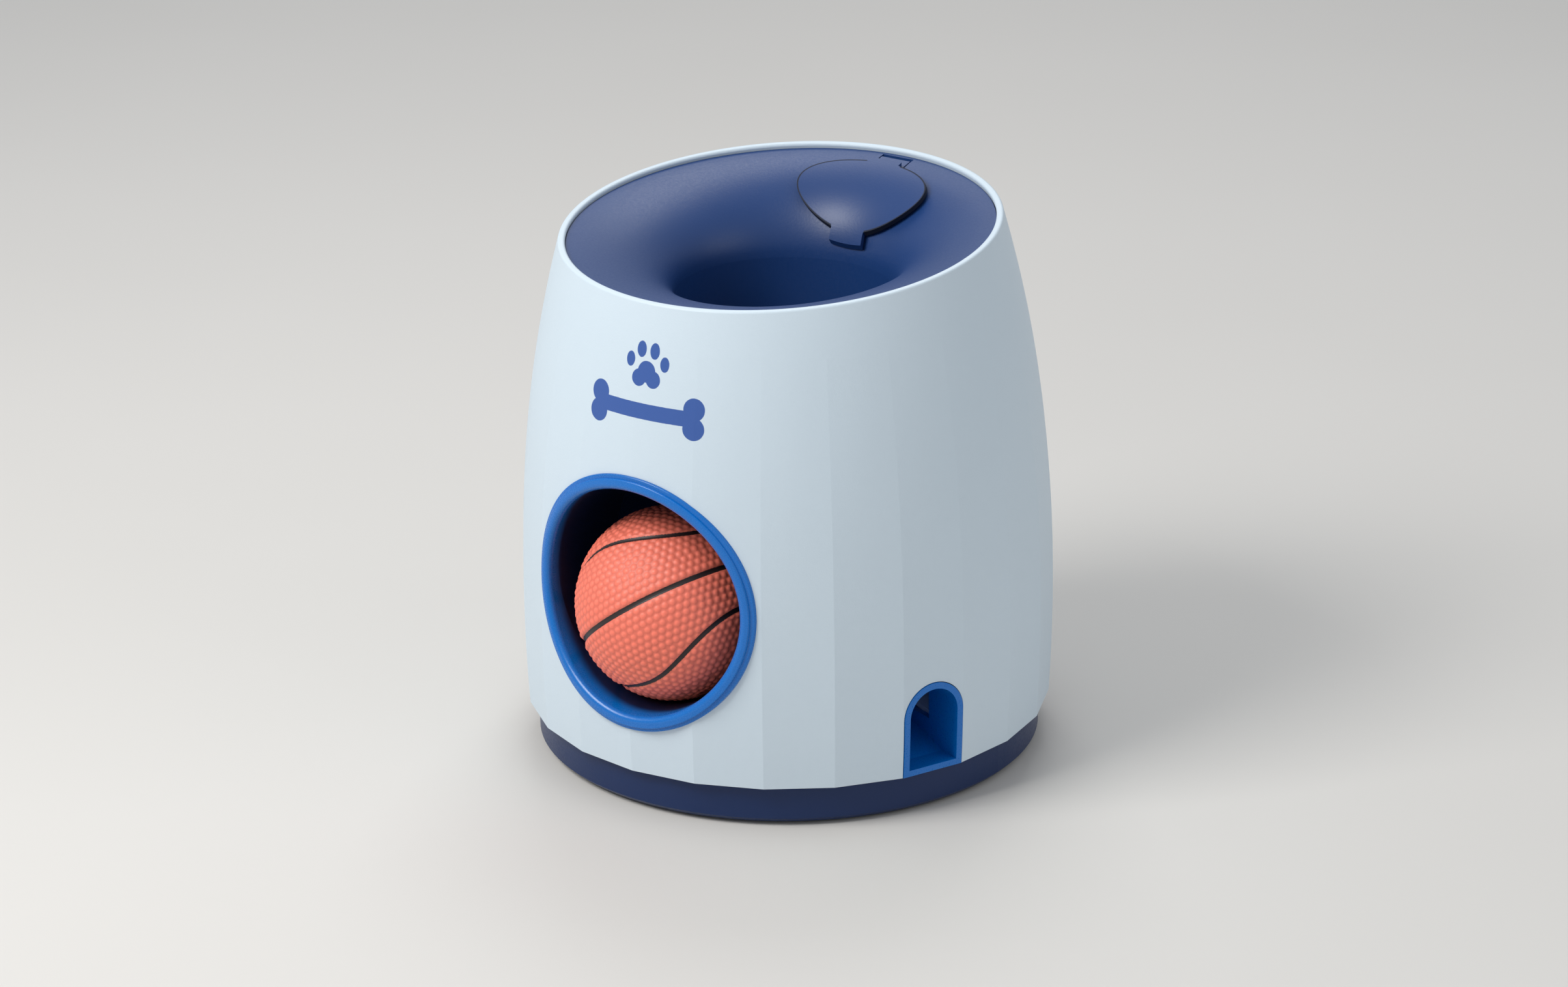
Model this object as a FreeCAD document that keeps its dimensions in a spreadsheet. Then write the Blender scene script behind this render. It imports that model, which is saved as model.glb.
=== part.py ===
import FreeCAD, Part
"""Dog puzzle toy: a faceted, tapered casing with a slanted funnel on top.

A dog drops a ball into the funnel.  The ball falls down the throat, swings a
paddle on its way and rolls out through the round outlet in front.  The paddle
shares an axle with a half-round dosing drum, which tips one portion of treats
from the hopper onto a curved slide that ends in the small arched outlet.

Frame: millimetres, +Z up, origin on the floor under the casing's axis.  The
ball outlet faces -Y, the filling lid is at +Y and the treat outlet looks
between -Y and +X.
"""
import math
import os
import re

import Sketcher
from FreeCAD import Placement, Rotation, Vector

os.makedirs("parts", exist_ok=True)
doc = FreeCAD.newDocument("dog_puzzle_toy")

SIZES = {
    # casing
    "facet_count": 24,
    "shell_foot_z": 14.0,
    "belly_radius": 85.0,
    "belly_z": 48.0,
    "foot_draw": 1.0,
    "crown_draw": 17.3,
    "crown_z": 176.0,
    "crown_over": 12.0,
    "bulge_power": 2.15,
    "fade_start_z": 30.0,
    "fade_end_z": 145.0,
    "crown_foot_z": 150.0,
    "shell_wall": 2.4,
    "rim_z": 170.2,
    "rim_tilt": 5.64,
    "rim_round": 0.8,
    # base
    "base_wall": 2.4,
    "base_floor": 2.6,
    "base_lap": 8.0,
    "base_edge": 1.4,
    "pad_radius": 6.0,
    "pad_height": 1.8,
    "pad_recess": 0.6,
    "pad_ring": 62.0,
    # screws and the posts they pull together
    "post_radius": 4.5,
    "post_ring": 73.5,
    "post_top_z": 45.0,
    "rib_wall": 2.4,
    "screw_radius": 1.4,
    "screw_bite": 0.02,
    "screw_play": 0.3,
    "screw_spare": 0.5,
    "head_radius": 2.9,
    "head_height": 2.0,
    "head_play": 0.4,
    "head_slot": 0.6,
    "head_slot_depth": 1.0,
    "head_slot_reach": 3.6,
    "seat_z": 9.0,
    "screw_length": 26.0,
    "duct_seat_z": 13.0,
    "duct_screw_length": 15.0,
    "duct_screw_x": 14.0,
    "duct_screw_back_y": 20.0,
    "duct_screw_front_y": -25.0,
    "leg_seat_z": 6.0,
    "leg_screw_length": 12.0,
    "leg_boss_z": 10.0,
    "ear_screw_length": 9.0,
    "side_screw_length": 25.0,
    # clearances
    "seat_gap": 0.1,
    "slip_gap": 0.3,
    "hub_gap": 0.02,
    # how far a cutting shape runs past what it cuts, and a tall blank above what trims it
    "over": 1.0,
    "blank_height": 30.0,
    # ball and its way through
    "ball_radius": 30.5,
    "ball_reach": 61.5,
    "ball_rest_gap": 0.1,
    "seam_radius": 0.9,
    "seam_latitude": 36.5,
    "throat_radius": 34.8,
    "throat_top_z": 152.0,
    "drop_radius": 36.5,
    "drop_wall": 2.2,
    "drop_top_z": 118.0,
    "socket_depth": 6.0,
    "tunnel_radius": 36.9,
    "tunnel_wall": 2.0,
    "tunnel_z": 68.9,
    "ramp_foot_y": -22.0,
    "ramp_angle": 26.0,
    "joint_y": -41.0,
    "joint_lap": 7.0,
    "joint_hold": 3.0,
    "joint_wall": 2.2,
    # ball outlet
    "mouth_radius": 36.2,
    "mouth_rise": 0.6,
    "mouth_y": -72.0,
    "flange_radius": 41.0,
    "flange_proud": 0.7,
    "flange_round": 0.4,
    "bead_radius": 39.8,
    "bead_proud": 1.5,
    "lip_round": 1.8,
    # funnel dish
    "dish_wall": 2.2,
    "dish_drop": 1.7,
    "dish_edge": 66.6,
    "dish_spread": 5.0,
    "dish_lap": 8.0,
    "dish_slope": 0.12,
    "dish_slope_swing": -0.12,
    "dish_roll": 18.0,
    "dish_roll_swing": 7.0,
    "collar_depth": 8.0,
    "collar_wall": 1.6,
    # filling lid and spout
    "lid_wall": 1.6,
    "lid_lift": 0.4,
    "lid_roll": 0.88,
    "lid_half_width": 23.4,
    "lid_half_length": 13.8,
    "lid_tilt": 35.0,
    "lid_centre_y": 46.2,
    "lid_centre_z": 164.8,
    "lid_prism_drop": 14.0,
    "lid_tab_width": 12.2,
    "lid_tab_length": 3.0,
    "lid_tab_lap": 3.0,
    "hinge_y": 60.2,
    "hinge_z": 171.9,
    "hinge_tab_y": 53.0,
    "hinge_neck_end_y": 57.6,
    "hinge_strip_y": 56.5,
    "hinge_strip_end_y": 62.4,
    "hinge_tab_drop": 5.0,
    "knuckle_radius": 2.0,
    "knuckle_width": 10.8,
    "knuckle_play": 0.45,
    "hinge_web_height": 2.3,
    "pin_radius": 1.0,
    "pin_play": 0.06,
    "lug_width": 2.4,
    "lug_radius": 2.4,
    "notch_y": 56.0,
    "notch_end_y": 63.9,
    "notch_drop": 4.0,
    "fill_width": 34.0,
    "fill_depth": 14.0,
    "fill_y": 48.0,
    "spout_wall": 1.6,
    # hopper
    "hopper_top_z": 143.4,
    "hopper_wall": 1.6,
    "hopper_inner": 40.6,
    "hopper_outer": 71.0,
    "hopper_start": 28.0,
    "hopper_end": 112.0,
    "hopper_fall": 23.0,
    "neck_x": 39.0,
    "neck_y": 44.5,
    "neck_width": 16.0,
    "neck_depth": 12.0,
    "neck_shelf": 2.0,
    "ear_wall": 3.0,
    "ear_radius": 4.5,
    "ear_swing": 6.5,
    "ear_bite": 1.0,
    "ear_boss_radius": 4.0,
    # dosing drum, its housing, axle and paddle
    "axle_y": 42.0,
    "axle_z": 100.0,
    "axle_radius": 2.0,
    "axle_play": 0.06,
    "drum_radius": 12.0,
    "drum_flat": 5.5,
    "drum_gap": 0.25,
    "drum_length": 19.2,
    "housing_x": 28.0,
    "housing_length": 22.0,
    "housing_wall": 2.0,
    "housing_half": 14.0,
    "chute_mouth_back_y": 38.6,
    "chute_mouth_top_z": 103.0,
    "side_screw_front_y": 31.0,
    "side_screw_back_y": 53.0,
    "side_screw_z": 111.0,
    "paddle_reach": 34.0,
    "paddle_width": 21.0,
    "paddle_wall": 3.0,
    "paddle_droop": 10.0,
    "paddle_tip_radius": 2.1,
    "paddle_rib": 2.0,
    "paddle_rib_wall": 1.5,
    "paddle_rib_end": 4.0,
    "hub_radius": 4.6,
    "hub_reach": 0.5,
    "window_width": 26.0,
    "window_foot_z": 63.0,
    "window_top_z": 107.0,
    "bracket_wall": 3.0,
    "bracket_left_x": -19.0,
    "bracket_left_y": 33.0,
    "bracket_right_y": 27.2,
    "bracket_foot_z": 86.0,
    "bracket_round": 10.0,
    "bush_wall": 1.2,
    "bush_rim": 1.8,
    "bush_flange": 1.0,
    "bush_press": 0.02,
    "clip_radius": 4.0,
    "clip_wall": 0.8,
    "clip_slit": 3.2,
    "clip_gap": 0.2,
    "axle_end": 1.2,
    "sleeve_radius": 3.0,
    "sleeve_length": 4.2,
    "spring_wire": 0.6,
    "spring_radius": 3.4,
    "spring_turns": 4,
    "spring_pitch": 0.85,
    "spring_stub": 4.5,
    "spring_bend": 0.8,
    "spring_hook": 2.2,
    # treat outlet, liner and slide
    "treat_turn": -22.5,
    "arch_gap": 0.25,
    "arch_inset": 0.4,
    "arch_way_depth": 12.0,
    "arch_wall": 2.0,
    "arch_rise": 19.0,
    "arch_floor": 2.0,
    "arch_back": 50.0,
    "arch_proud": 0.25,
    "arch_flange": 2.6,
    "arch_flange_wall": 1.6,
    "arch_ramp": 6.0,
    "arch_ramp_reach": 26.0,
    "arch_bite": 0.5,
    "liner_room_depth": 17.0,
    "liner_stand_length": 28.0,
    "liner_stand_wall": 1.6,
    "side_door_start": 53.2,
    "side_door_end": 68.4,
    "side_door_top_z": 37.5,
    "slide_wall": 1.6,
    "slide_inner_top": 41.6,
    "slide_outer_top": 72.0,
    "slide_inner_foot": 52.0,
    "slide_outer_foot": 69.6,
    "slide_start": 62.0,
    "slide_end": -15.0,
    "slide_top_z": 71.0,
    "slide_foot_z": 24.0,
    "slide_rail": 11.0,
    "slide_spare": 1.0,
    "leg_radius": 3.6,
    "leg_ring": 60.0,
    "front_leg": 15.0,
    "back_leg": 45.0,
}

# Sizes that follow from the ones above, so that mating faces move together.
FITTED = {
    "foot_z": "pad_height - pad_recess",
    "lap_z": "shell_foot_z + base_lap",
    "base_radius": "(belly_radius - foot_draw) * cos(180 deg / facet_count) - shell_wall - slip_gap",
    "floor_top_z": "foot_z + base_floor",
    "throat_outer": "throat_radius + dish_wall",
    "throat_foot_z": "drop_top_z - socket_depth + seat_gap",
    "drop_outer": "drop_radius + drop_wall",
    "tunnel_outer": "tunnel_radius + tunnel_wall",
    "tunnel_floor_z": "tunnel_z - tunnel_radius",
    "ramp_rise": "tan(ramp_angle * 1 deg)",
    "ramp_under": "drop_wall / cos(ramp_angle * 1 deg)",
    "ramp_back_y": "drop_outer + 4",
    "mouth_z": "tunnel_z + mouth_rise",
    "front_y": "-belly_radius - bead_proud - over",
    "wide": "4 * belly_radius",
    "hopper_mid": "(hopper_inner + hopper_outer) / 2",
    "hopper_rise": "tan(hopper_fall * 1 deg)",
    "hopper_turn_in": "hopper_wall / hopper_mid * 180 / pi",
    "hopper_floor_z": "axle_z + housing_half + slip_gap + hopper_wall",
    "bracket_right_x": "housing_x - seat_gap - bracket_wall",
    "housing_end": "housing_x + housing_length",
    "drum_bore": "drum_radius + drum_gap",
    "drum_x": "housing_x + 2 * drum_gap",
    "bush_outer": "axle_radius + axle_play + bush_wall",
    "bush_flange_radius": "bush_outer + bush_rim",
    "spring_length": "spring_turns * spring_pitch",
    # the spring's level leg reaches out to where the drooping paddle comes down onto its hook
    "spring_leg": "(spring_radius * cos(paddle_droop * 1 deg) - paddle_wall / 2 - spring_wire / 2 - hub_gap)"
                  " / sin(paddle_droop * 1 deg)",
    "clip_left_x": "bracket_left_x - bush_flange - clip_gap - clip_wall",
    "clip_right_x": "housing_end + bush_flange + clip_gap",
    "axle_left_x": "clip_left_x - axle_end",
    "axle_length": "clip_right_x + clip_wall + axle_end - axle_left_x",
    "arch_half": "belly_radius * sin(180 deg / facet_count) - arch_inset",
    "arch_z": "shell_foot_z + arch_rise",
    "arch_inner": "arch_half - arch_wall",
    "arch_floor_z": "shell_foot_z + arch_floor",
}

sheet = doc.addObject("Spreadsheet::Sheet", "dims")
for row, (name, size) in enumerate(list(SIZES.items()) + list(FITTED.items()), start=1):
    sheet.set("A%d" % row, name)
    sheet.set("B%d" % row, str(size) if name in SIZES else "=" + size)
    sheet.setAlias("B%d" % row, name)
    if name in FITTED or row == len(SIZES):
        doc.recompute()
NAMES = set(SIZES) | set(FITTED)

WORD = re.compile(r"[a-z_]+[a-z0-9_]*")


def full(text):
    """An expression with each size's name written as the sheet's own."""
    return WORD.sub(lambda m: "dims." + m.group() if m.group() in NAMES else m.group(), text)


def num(text):
    """The value of an expression over the sheet."""
    value = sheet.evalExpression(full(text))
    return float(getattr(value, "Value", value))


def place(item, at=("0", "0", "0"), axis=(0, 0, 1), turn=0.0):
    """Turn an item, then bind its place to the sheet."""
    item.Placement = Placement(Vector(), Rotation(Vector(*axis), turn))
    for name, text in zip("xyz", at):
        item.setExpression("Placement.Base." + name, full(text))
    return item


ALONG = {"x": ((0, 1, 0), 90.0), "y": ((1, 0, 0), -90.0), "z": ((0, 0, 1), 0.0)}


def rod(name, radius, length, at=("0", "0", "0"), along="z"):
    """A cylinder that starts at a place and runs along an axis."""
    item = doc.addObject("Part::Cylinder", name)
    item.setExpression("Radius", full(radius))
    item.setExpression("Height", full(length))
    axis, turn = ALONG[along]
    return place(item, at, axis, turn)


def block(name, size, low):
    """A box from its lowest corner."""
    item = doc.addObject("Part::Box", name)
    for prop, text in zip(("Length", "Width", "Height"), size):
        item.setExpression(prop, full(text))
    return place(item, low)


def fuse(name, *items):
    item = doc.addObject("Part::MultiFuse", name)
    item.Shapes = list(items)
    item.Refine = True
    return item


def common(name, *items):
    item = doc.addObject("Part::MultiCommon", name)
    item.Shapes = list(items)
    return item


def cut(name, base, *tools):
    item = doc.addObject("Part::Cut", name)
    item.Base = base
    item.Tool = tools[0] if len(tools) == 1 else fuse(name + "_tools", *tools)
    item.Refine = True
    return item


def shaped(name, shape):
    """An item that holds a shape worked out here."""
    item = doc.addObject("Part::Feature", name)
    item.Shape = shape
    return item


def group(name, *items):
    item = doc.addObject("Part::Compound", name)
    item.Links = list(items)
    return item


def profile(body, name, role, corners):
    """A closed outline of straight sides, each corner bound to the sheet."""
    sketch = body.newObject("Sketcher::SketchObject", name)
    plane = [item for item in body.Origin.OriginFeatures if item.Role == role][0]
    sketch.AttachmentSupport = [(plane, "")]
    sketch.MapMode = "FlatFace"
    spots = [Vector(num(across), num(up), 0) for across, up in corners]
    for here, there in zip(spots, spots[1:] + spots[:1]):
        sketch.addGeometry(Part.LineSegment(here, there), False)
    for i in range(len(spots)):
        sketch.addConstraint(Sketcher.Constraint("Coincident", i, 2, (i + 1) % len(spots), 1))
    for i, (spot, texts) in enumerate(zip(spots, corners)):
        for kind, size, text in (("DistanceX", spot.x, texts[0]), ("DistanceY", spot.y, texts[1])):
            where = sketch.addConstraint(Sketcher.Constraint(kind, -1, 1, i, 1, size))
            sketch.setExpression("Constraints[%d]" % where, full(text))
    return sketch


def turned(name, corners):
    """A body turned about Z from an outline of (radius, height) corners."""
    body = doc.addObject("PartDesign::Body", name)
    sketch = profile(body, name + "_outline", "XZ_Plane", corners)
    turning = body.newObject("PartDesign::Revolution", name + "_turning")
    turning.Profile = sketch
    turning.ReferenceAxis = (sketch, ["V_Axis"])
    turning.Angle = 360
    return body


def extruded(name, role, corners, length):
    """A body padded both ways from one of its origin planes."""
    body = doc.addObject("PartDesign::Body", name)
    sketch = profile(body, name + "_outline", role, corners)
    pad = body.newObject("PartDesign::Pad", name + "_pad")
    pad.Profile = sketch
    pad.Midplane = True
    pad.setExpression("Length", full(length))
    return body


def wall_radius(z):
    """The casing's corner radius at a height: a belly drawn in to foot and crown."""
    above = z - num("belly_z")
    if above > 0:
        share = above / num("crown_z - belly_z")
        return num("belly_radius") - num("crown_draw") * share ** num("bulge_power")
    share = above / num("belly_z - shell_foot_z")
    return num("belly_radius") - num("foot_draw") * share ** 2


def flat_share(z):
    """A facet's middle as a share of its corner radius: flat below, round above."""
    flat = math.cos(math.pi / num("facet_count"))
    rise = (z - num("fade_start_z")) / num("fade_end_z - fade_start_z")
    rise = min(max(rise, 0.0), 1.0)
    return flat + (1 - flat) * rise * rise * (3 - 2 * rise)


SECTIONS = 9


def section_heights(low, high):
    return [low + (high - low) * i / (SECTIONS - 1) for i in range(SECTIONS)]


def polar(radius, angle, z):
    return Vector(radius * math.cos(angle), radius * math.sin(angle), z)


def facet_body(offset, low, high):
    """The casing's outside as a solid: facets that fade to round at the top."""
    count = int(num("facet_count"))
    step = 2 * math.pi / count
    wires = []
    for z in section_heights(low, high):
        corner = wall_radius(z) + offset
        middle = (wall_radius(z) * flat_share(z)) + offset
        edges = []
        for i in range(count):
            ends = polar(corner, i * step, z), polar(corner, (i + 1) * step, z)
            crest = polar(middle, (i + 0.5) * step, z)
            straight = middle - corner * math.cos(step / 2) < 0.001
            curve = Part.LineSegment(*ends) if straight else Part.Arc(ends[0], crest, ends[1])
            edges.append(curve.toShape())
        wires.append(Part.Wire(edges))
    return Part.makeLoft(wires, True, False)


def round_body(offset, low, high, smooth=False):
    """A turned solid that keeps an even distance from the casing's outside."""
    heights = section_heights(low, high)
    radii = [wall_radius(z) * (1.0 if smooth else flat_share(z)) + offset for z in heights]
    curve = Part.BSplineCurve()
    curve.interpolate([Vector(r, 0, z) for r, z in zip(radii, heights)])
    foot, top = Vector(0, 0, low), Vector(0, 0, high)
    edges = [
        Part.LineSegment(foot, Vector(radii[0], 0, low)).toShape(),
        curve.toShape(),
        Part.LineSegment(Vector(radii[-1], 0, high), top).toShape(),
        Part.LineSegment(top, foot).toShape(),
    ]
    return Part.Face(Part.Wire(edges)).revolve(Vector(), Vector(0, 0, 1), 360)


def tilted_slab(name, drop, thick):
    """A slab that lies on the slanted rim plane, a drop below it."""
    item = doc.addObject("Part::Box", name)
    for prop, text in (("Length", "wide"), ("Width", "wide"), ("Height", thick)):
        item.setExpression(prop, full(text))
    tilt = Rotation(Vector(1, 0, 0), num("rim_tilt"))
    corner = tilt.multVec(Vector(-num("wide / 2"), -num("wide / 2"), 0))
    item.Placement = Placement(corner, tilt)
    item.setExpression("Placement.Base.z", full("rim_z - (%s) + %.9f" % (drop, corner.z)))
    return item


def rim_height(y, drop=0.0):
    return num("rim_z") - drop + y * math.tan(math.radians(num("rim_tilt")))


def rounded(name, base, picked, radius):
    """Round the edges of an item that a test picks out."""
    doc.recompute()
    item = doc.addObject("Part::Fillet", name)
    item.Base = base
    item.Edges = [
        (i, num(radius), num(radius))
        for i, edge in enumerate(base.Shape.Edges, start=1)
        if picked(edge)
    ]
    return item


def on_rim(edge):
    """An edge that lies in the slanted rim plane."""
    return all(abs(v.Z - rim_height(v.Y)) < 0.01 for v in edge.Vertexes)


def spot(ring, angle):
    """The x and y of a place on a ring, as expressions."""
    return "(%s) * cos((%s) * 1 deg)" % (ring, angle), "(%s) * sin((%s) * 1 deg)" % (ring, angle)


def screw(name, length, at, along="z", back=False):
    """A pan head screw with a cross recess; its head's seat is at the given place."""
    axis = "xyz".index(along)
    cross = [i for i in range(3) if i != axis]

    def shifted(distance):
        return tuple(t if i != axis else "%s + %s" % (t, distance) for i, t in enumerate(at))

    shank_start, head_start, slot_start = "0", "-head_height", "-head_height"
    if back:
        shank_start, head_start, slot_start = "-(%s)" % length, "0", "head_height - head_slot_depth"
    shank = rod(name + "_shank", "screw_radius", length, shifted(shank_start), along)
    head = rod(name + "_head", "head_radius", "head_height", shifted(head_start), along)
    slots = []
    for wide, narrow in (cross, cross[::-1]):
        size = ["head_slot_depth"] * 3
        low = list(shifted(slot_start))
        size[wide], size[narrow] = "head_slot_reach", "head_slot"
        low[wide] += " - head_slot_reach / 2"
        low[narrow] += " - head_slot / 2"
        slots.append(block("%s_slot_%s" % (name, "xyz"[wide]), tuple(size), tuple(low)))
    return cut(name, fuse(name + "_blank", shank, head), *slots)


def screw_way(name, at, length, foot, top):
    """The room a screw from below needs: a counterbore, then its clearance hole."""
    bore = rod(name + "_bore", "head_radius + head_play", "(%s) - (%s)" % (at[2], foot),
               (at[0], at[1], foot))
    hole = rod(name + "_hole", "screw_radius + screw_play", "(%s) - (%s)" % (top, at[2]), at)
    return [bore, hole]


# Outer shell
cavity = shaped("shell_cavity", round_body(-num("shell_wall"), num("shell_foot_z - over"),
                                            num("crown_z + crown_over + over")))
skirt_skin = shaped("skirt_skin", facet_body(0.0, num("shell_foot_z"), num("crown_foot_z")))
crown_skin = shaped("crown_skin", round_body(0.0, num("crown_foot_z"), num("crown_z + crown_over")))
crown_ring = cut("crown_ring", crown_skin, cavity, tilted_slab("above_rim", "0", "crown_z"))
crown = rounded("crown", crown_ring, on_rim, "rim_round")
skirt = cut("skirt", skirt_skin, cavity)

POSTS = (75, 150, 225, 312)
shell_posts, shell_pilots, base_posts, post_ways, shell_screw_items = [], [], [], [], []
for i, angle in enumerate(POSTS, start=1):
    x, y = spot("post_ring", str(angle))
    shell_posts.append(rod("shell_post_%d" % i, "post_radius", "post_top_z - lap_z - seat_gap",
                           (x, y, "lap_z + seat_gap")))
    rib = doc.addObject("Part::Box", "shell_rib_%d" % i)
    rib.setExpression("Length", full("belly_radius - shell_wall - post_ring"))
    rib.setExpression("Width", full("rib_wall"))
    rib.setExpression("Height", full("post_top_z - lap_z - seat_gap"))
    start = polar(num("post_ring"), math.radians(angle), 0)
    side = Rotation(Vector(0, 0, 1), angle).multVec(Vector(0, -num("rib_wall") / 2, 0))
    rib.Placement = Placement(start + side, Rotation(Vector(0, 0, 1), angle))
    rib.setExpression("Placement.Base.z", full("lap_z + seat_gap"))
    shell_posts.append(rib)
    shell_pilots.append(rod("shell_pilot_%d" % i, "screw_radius + screw_bite", "screw_length",
                            (x, y, "seat_z")))
    base_posts.append(rod("base_post_%d" % i, "post_radius", "lap_z - foot_z", (x, y, "foot_z")))
    post_ways += screw_way("post_way_%d" % i, (x, y, "seat_z"), "screw_length", "0", "lap_z + over")
    shell_screw_items.append(screw("shell_screw_%d" % i, "screw_length", (x, y, "seat_z")))

outlet_hole = rod("outlet_hole", "tunnel_outer + slip_gap", "-front_y", ("0", "front_y", "tunnel_z"), "y")


def treat_frame(item):
    """Turn an item built along +X to face the treat outlet."""
    item.Placement = Placement(Vector(), Rotation(Vector(0, 0, 1), num("treat_turn")))
    return item


def treat_block(name, size, low):
    """A box placed in the treat outlet's own frame, with +X pointing out of it."""
    return treat_frame(group(name, block(name + "_box", size, low)))


def arch(name, half, low, start, end):
    """An arch shaped rod along +X: round above, straight sided down to a foot."""
    length = "(%s) - (%s)" % (end, start)
    return fuse(name,
                rod(name + "_round", half, length, (start, "0", "arch_z"), "x"),
                block(name + "_jambs", (length, "2 * (%s)" % half, "arch_z - (%s)" % low),
                      (start, "-(%s)" % half, low)))


arch_way = treat_frame(arch("arch_way", "arch_half + arch_gap", "foot_z", "belly_radius - arch_way_depth",
                            "belly_radius + over"))
outer_shell = cut("outer_shell", fuse("shell_blank", crown, skirt, *shell_posts),
                  outlet_hole, arch_way, *shell_pilots)

# Funnel cover


def dish_section(radius, bend, offset, roll, lift):
    """One level of the dish: a tilted ring at a bend angle, moved off by a wall."""
    edge, throat = num("dish_edge"), num("throat_radius")
    g = 1 - math.cos(bend)
    fall = num("dish_roll") * roll
    run = edge - throat
    along, down = run * math.cos(bend), fall * math.sin(bend)
    span = math.hypot(along, down)
    level = num("rim_z") - num("dish_drop") + lift
    level -= num("dish_slope") * (edge - radius) + fall * g
    swing = radius * math.tan(math.radians(num("rim_tilt")))
    swing -= num("dish_slope_swing") * (edge - radius) + num("dish_roll_swing") * roll * g
    if bend == 0:
        moved, level = radius, level - offset
    else:
        moved, level = radius + offset * down / span, level - offset * along / span
    centre = Vector(0, 0, level)
    long_end = centre + Vector(0, moved, swing)
    short_end = centre + Vector(-moved, 0, 0)
    return Part.Ellipse(long_end, short_end, centre).toShape()


DISH_STEPS = 9


def dish_body(offset, up, roll=1.0, lift=0.0):
    """Everything above a dish surface, down to the throat."""
    edge, throat = num("dish_edge"), num("throat_radius")
    rings = [dish_section(edge + num("dish_spread"), 0.0, offset, roll, lift)]
    for i in range(DISH_STEPS + 1):
        bend = math.pi / 2 * i / DISH_STEPS
        radius = edge - (edge - throat) * math.sin(bend)
        rings.append(dish_section(radius, bend, offset, roll, lift))
    wires = [Part.Wire([ring]) for ring in rings]
    body = Part.makeLoft(wires, True, False)
    cap = Part.Face(wires[0]).extrude(Vector(0, 0, up))
    return body.fuse(cap).removeSplitter()


dish_space = shaped("dish_space", dish_body(0.0, num("blank_height")))
dish_under = shaped("dish_under", dish_body(num("dish_wall"), num("dish_lap")))
rim_fit = shaped("rim_fit", round_body(-num("shell_wall + slip_gap"), num("crown_foot_z"),
                                        num("crown_z + crown_over")))
collar_core = shaped("collar_core", round_body(-num("shell_wall + slip_gap + collar_wall"),
                                                num("crown_foot_z - over"),
                                                num("crown_z + crown_over + over")))
collar = cut("collar", common("collar_band", rim_fit,
                              tilted_slab("collar_slab", "dish_drop + collar_depth", "collar_depth")),
             collar_core)
dish_plate = common("dish_plate", dish_under, fuse("rim_fit_and_throat", rim_fit,
                    rod("throat_zone", "dish_edge", "crown_foot_z - throat_foot_z + over",
                        ("0", "0", "throat_foot_z"))))
throat_tube = rod("throat_tube", "throat_outer", "throat_top_z - throat_foot_z",
                  ("0", "0", "throat_foot_z"))
throat_bore = rod("throat_bore", "throat_radius", "throat_top_z - throat_foot_z + over",
                  ("0", "0", "throat_foot_z - over"))


def slot(name, width, depth, low, height):
    """An upright slot with round ends, centred on the filling place."""
    straight = "(%s) - (%s)" % (width, depth)
    ends = [rod(name + "_end_%d" % i, "(%s) / 2" % depth, height,
                ("%s * (%s) / 2" % (side, straight), "fill_y", low))
            for i, side in enumerate(("-1", "1"))]
    middle = block(name + "_middle", (straight, depth, height),
                   ("-(%s) / 2" % straight, "fill_y - (%s) / 2" % depth, low))
    return fuse(name, middle, *ends)


spout = slot("spout", "fill_width + 2 * spout_wall", "fill_depth + 2 * spout_wall",
             "hopper_top_z + seat_gap", "blank_height")
fill_way = slot("fill_way", "fill_width", "fill_depth", "hopper_top_z - over", "2 * blank_height")
bosses, ear_pilots, ear_screws = [], [], []
EARS = ("hopper_start - ear_swing", "hopper_end + ear_swing")
for i, angle in enumerate(EARS, start=1):
    x, y = spot("hopper_mid", angle)
    bosses.append(rod("cover_boss_%d" % i, "ear_boss_radius", "blank_height",
                      (x, y, "hopper_top_z + seat_gap")))
    ear_pilots.append(rod("ear_pilot_%d" % i, "screw_radius + screw_bite", "ear_screw_length + screw_spare",
                          (x, y, "hopper_top_z - ear_wall")))
    ear_screws.append(screw("hopper_screw_%d" % i, "ear_screw_length", (x, y, "hopper_top_z - ear_wall")))
notch = block("hinge_notch", ("knuckle_width + 2 * knuckle_play", "notch_end_y - notch_y", "blank_height"),
              ("-knuckle_width / 2 - knuckle_play", "notch_y", "hinge_z - notch_drop"))
PIN_START = ("-knuckle_width / 2 - knuckle_play - lug_width", "hinge_y", "hinge_z")
PIN_LENGTH = "knuckle_width + 2 * knuckle_play + 2 * lug_width"
lugs = rod("pin_lugs", "lug_radius", PIN_LENGTH, PIN_START, "x")
pin_hole = rod("pin_hole", "pin_radius + bush_press", PIN_LENGTH + " + 2 * over",
               (PIN_START[0] + " - over",) + PIN_START[1:], "x")
cover_blank = fuse("cover_blank", dish_plate, throat_tube, collar, spout, lugs, *bosses)
funnel_cover = cut("funnel_cover", cover_blank, dish_space, throat_bore, fill_way, notch, pin_hole,
                   *ear_pilots)

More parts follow.
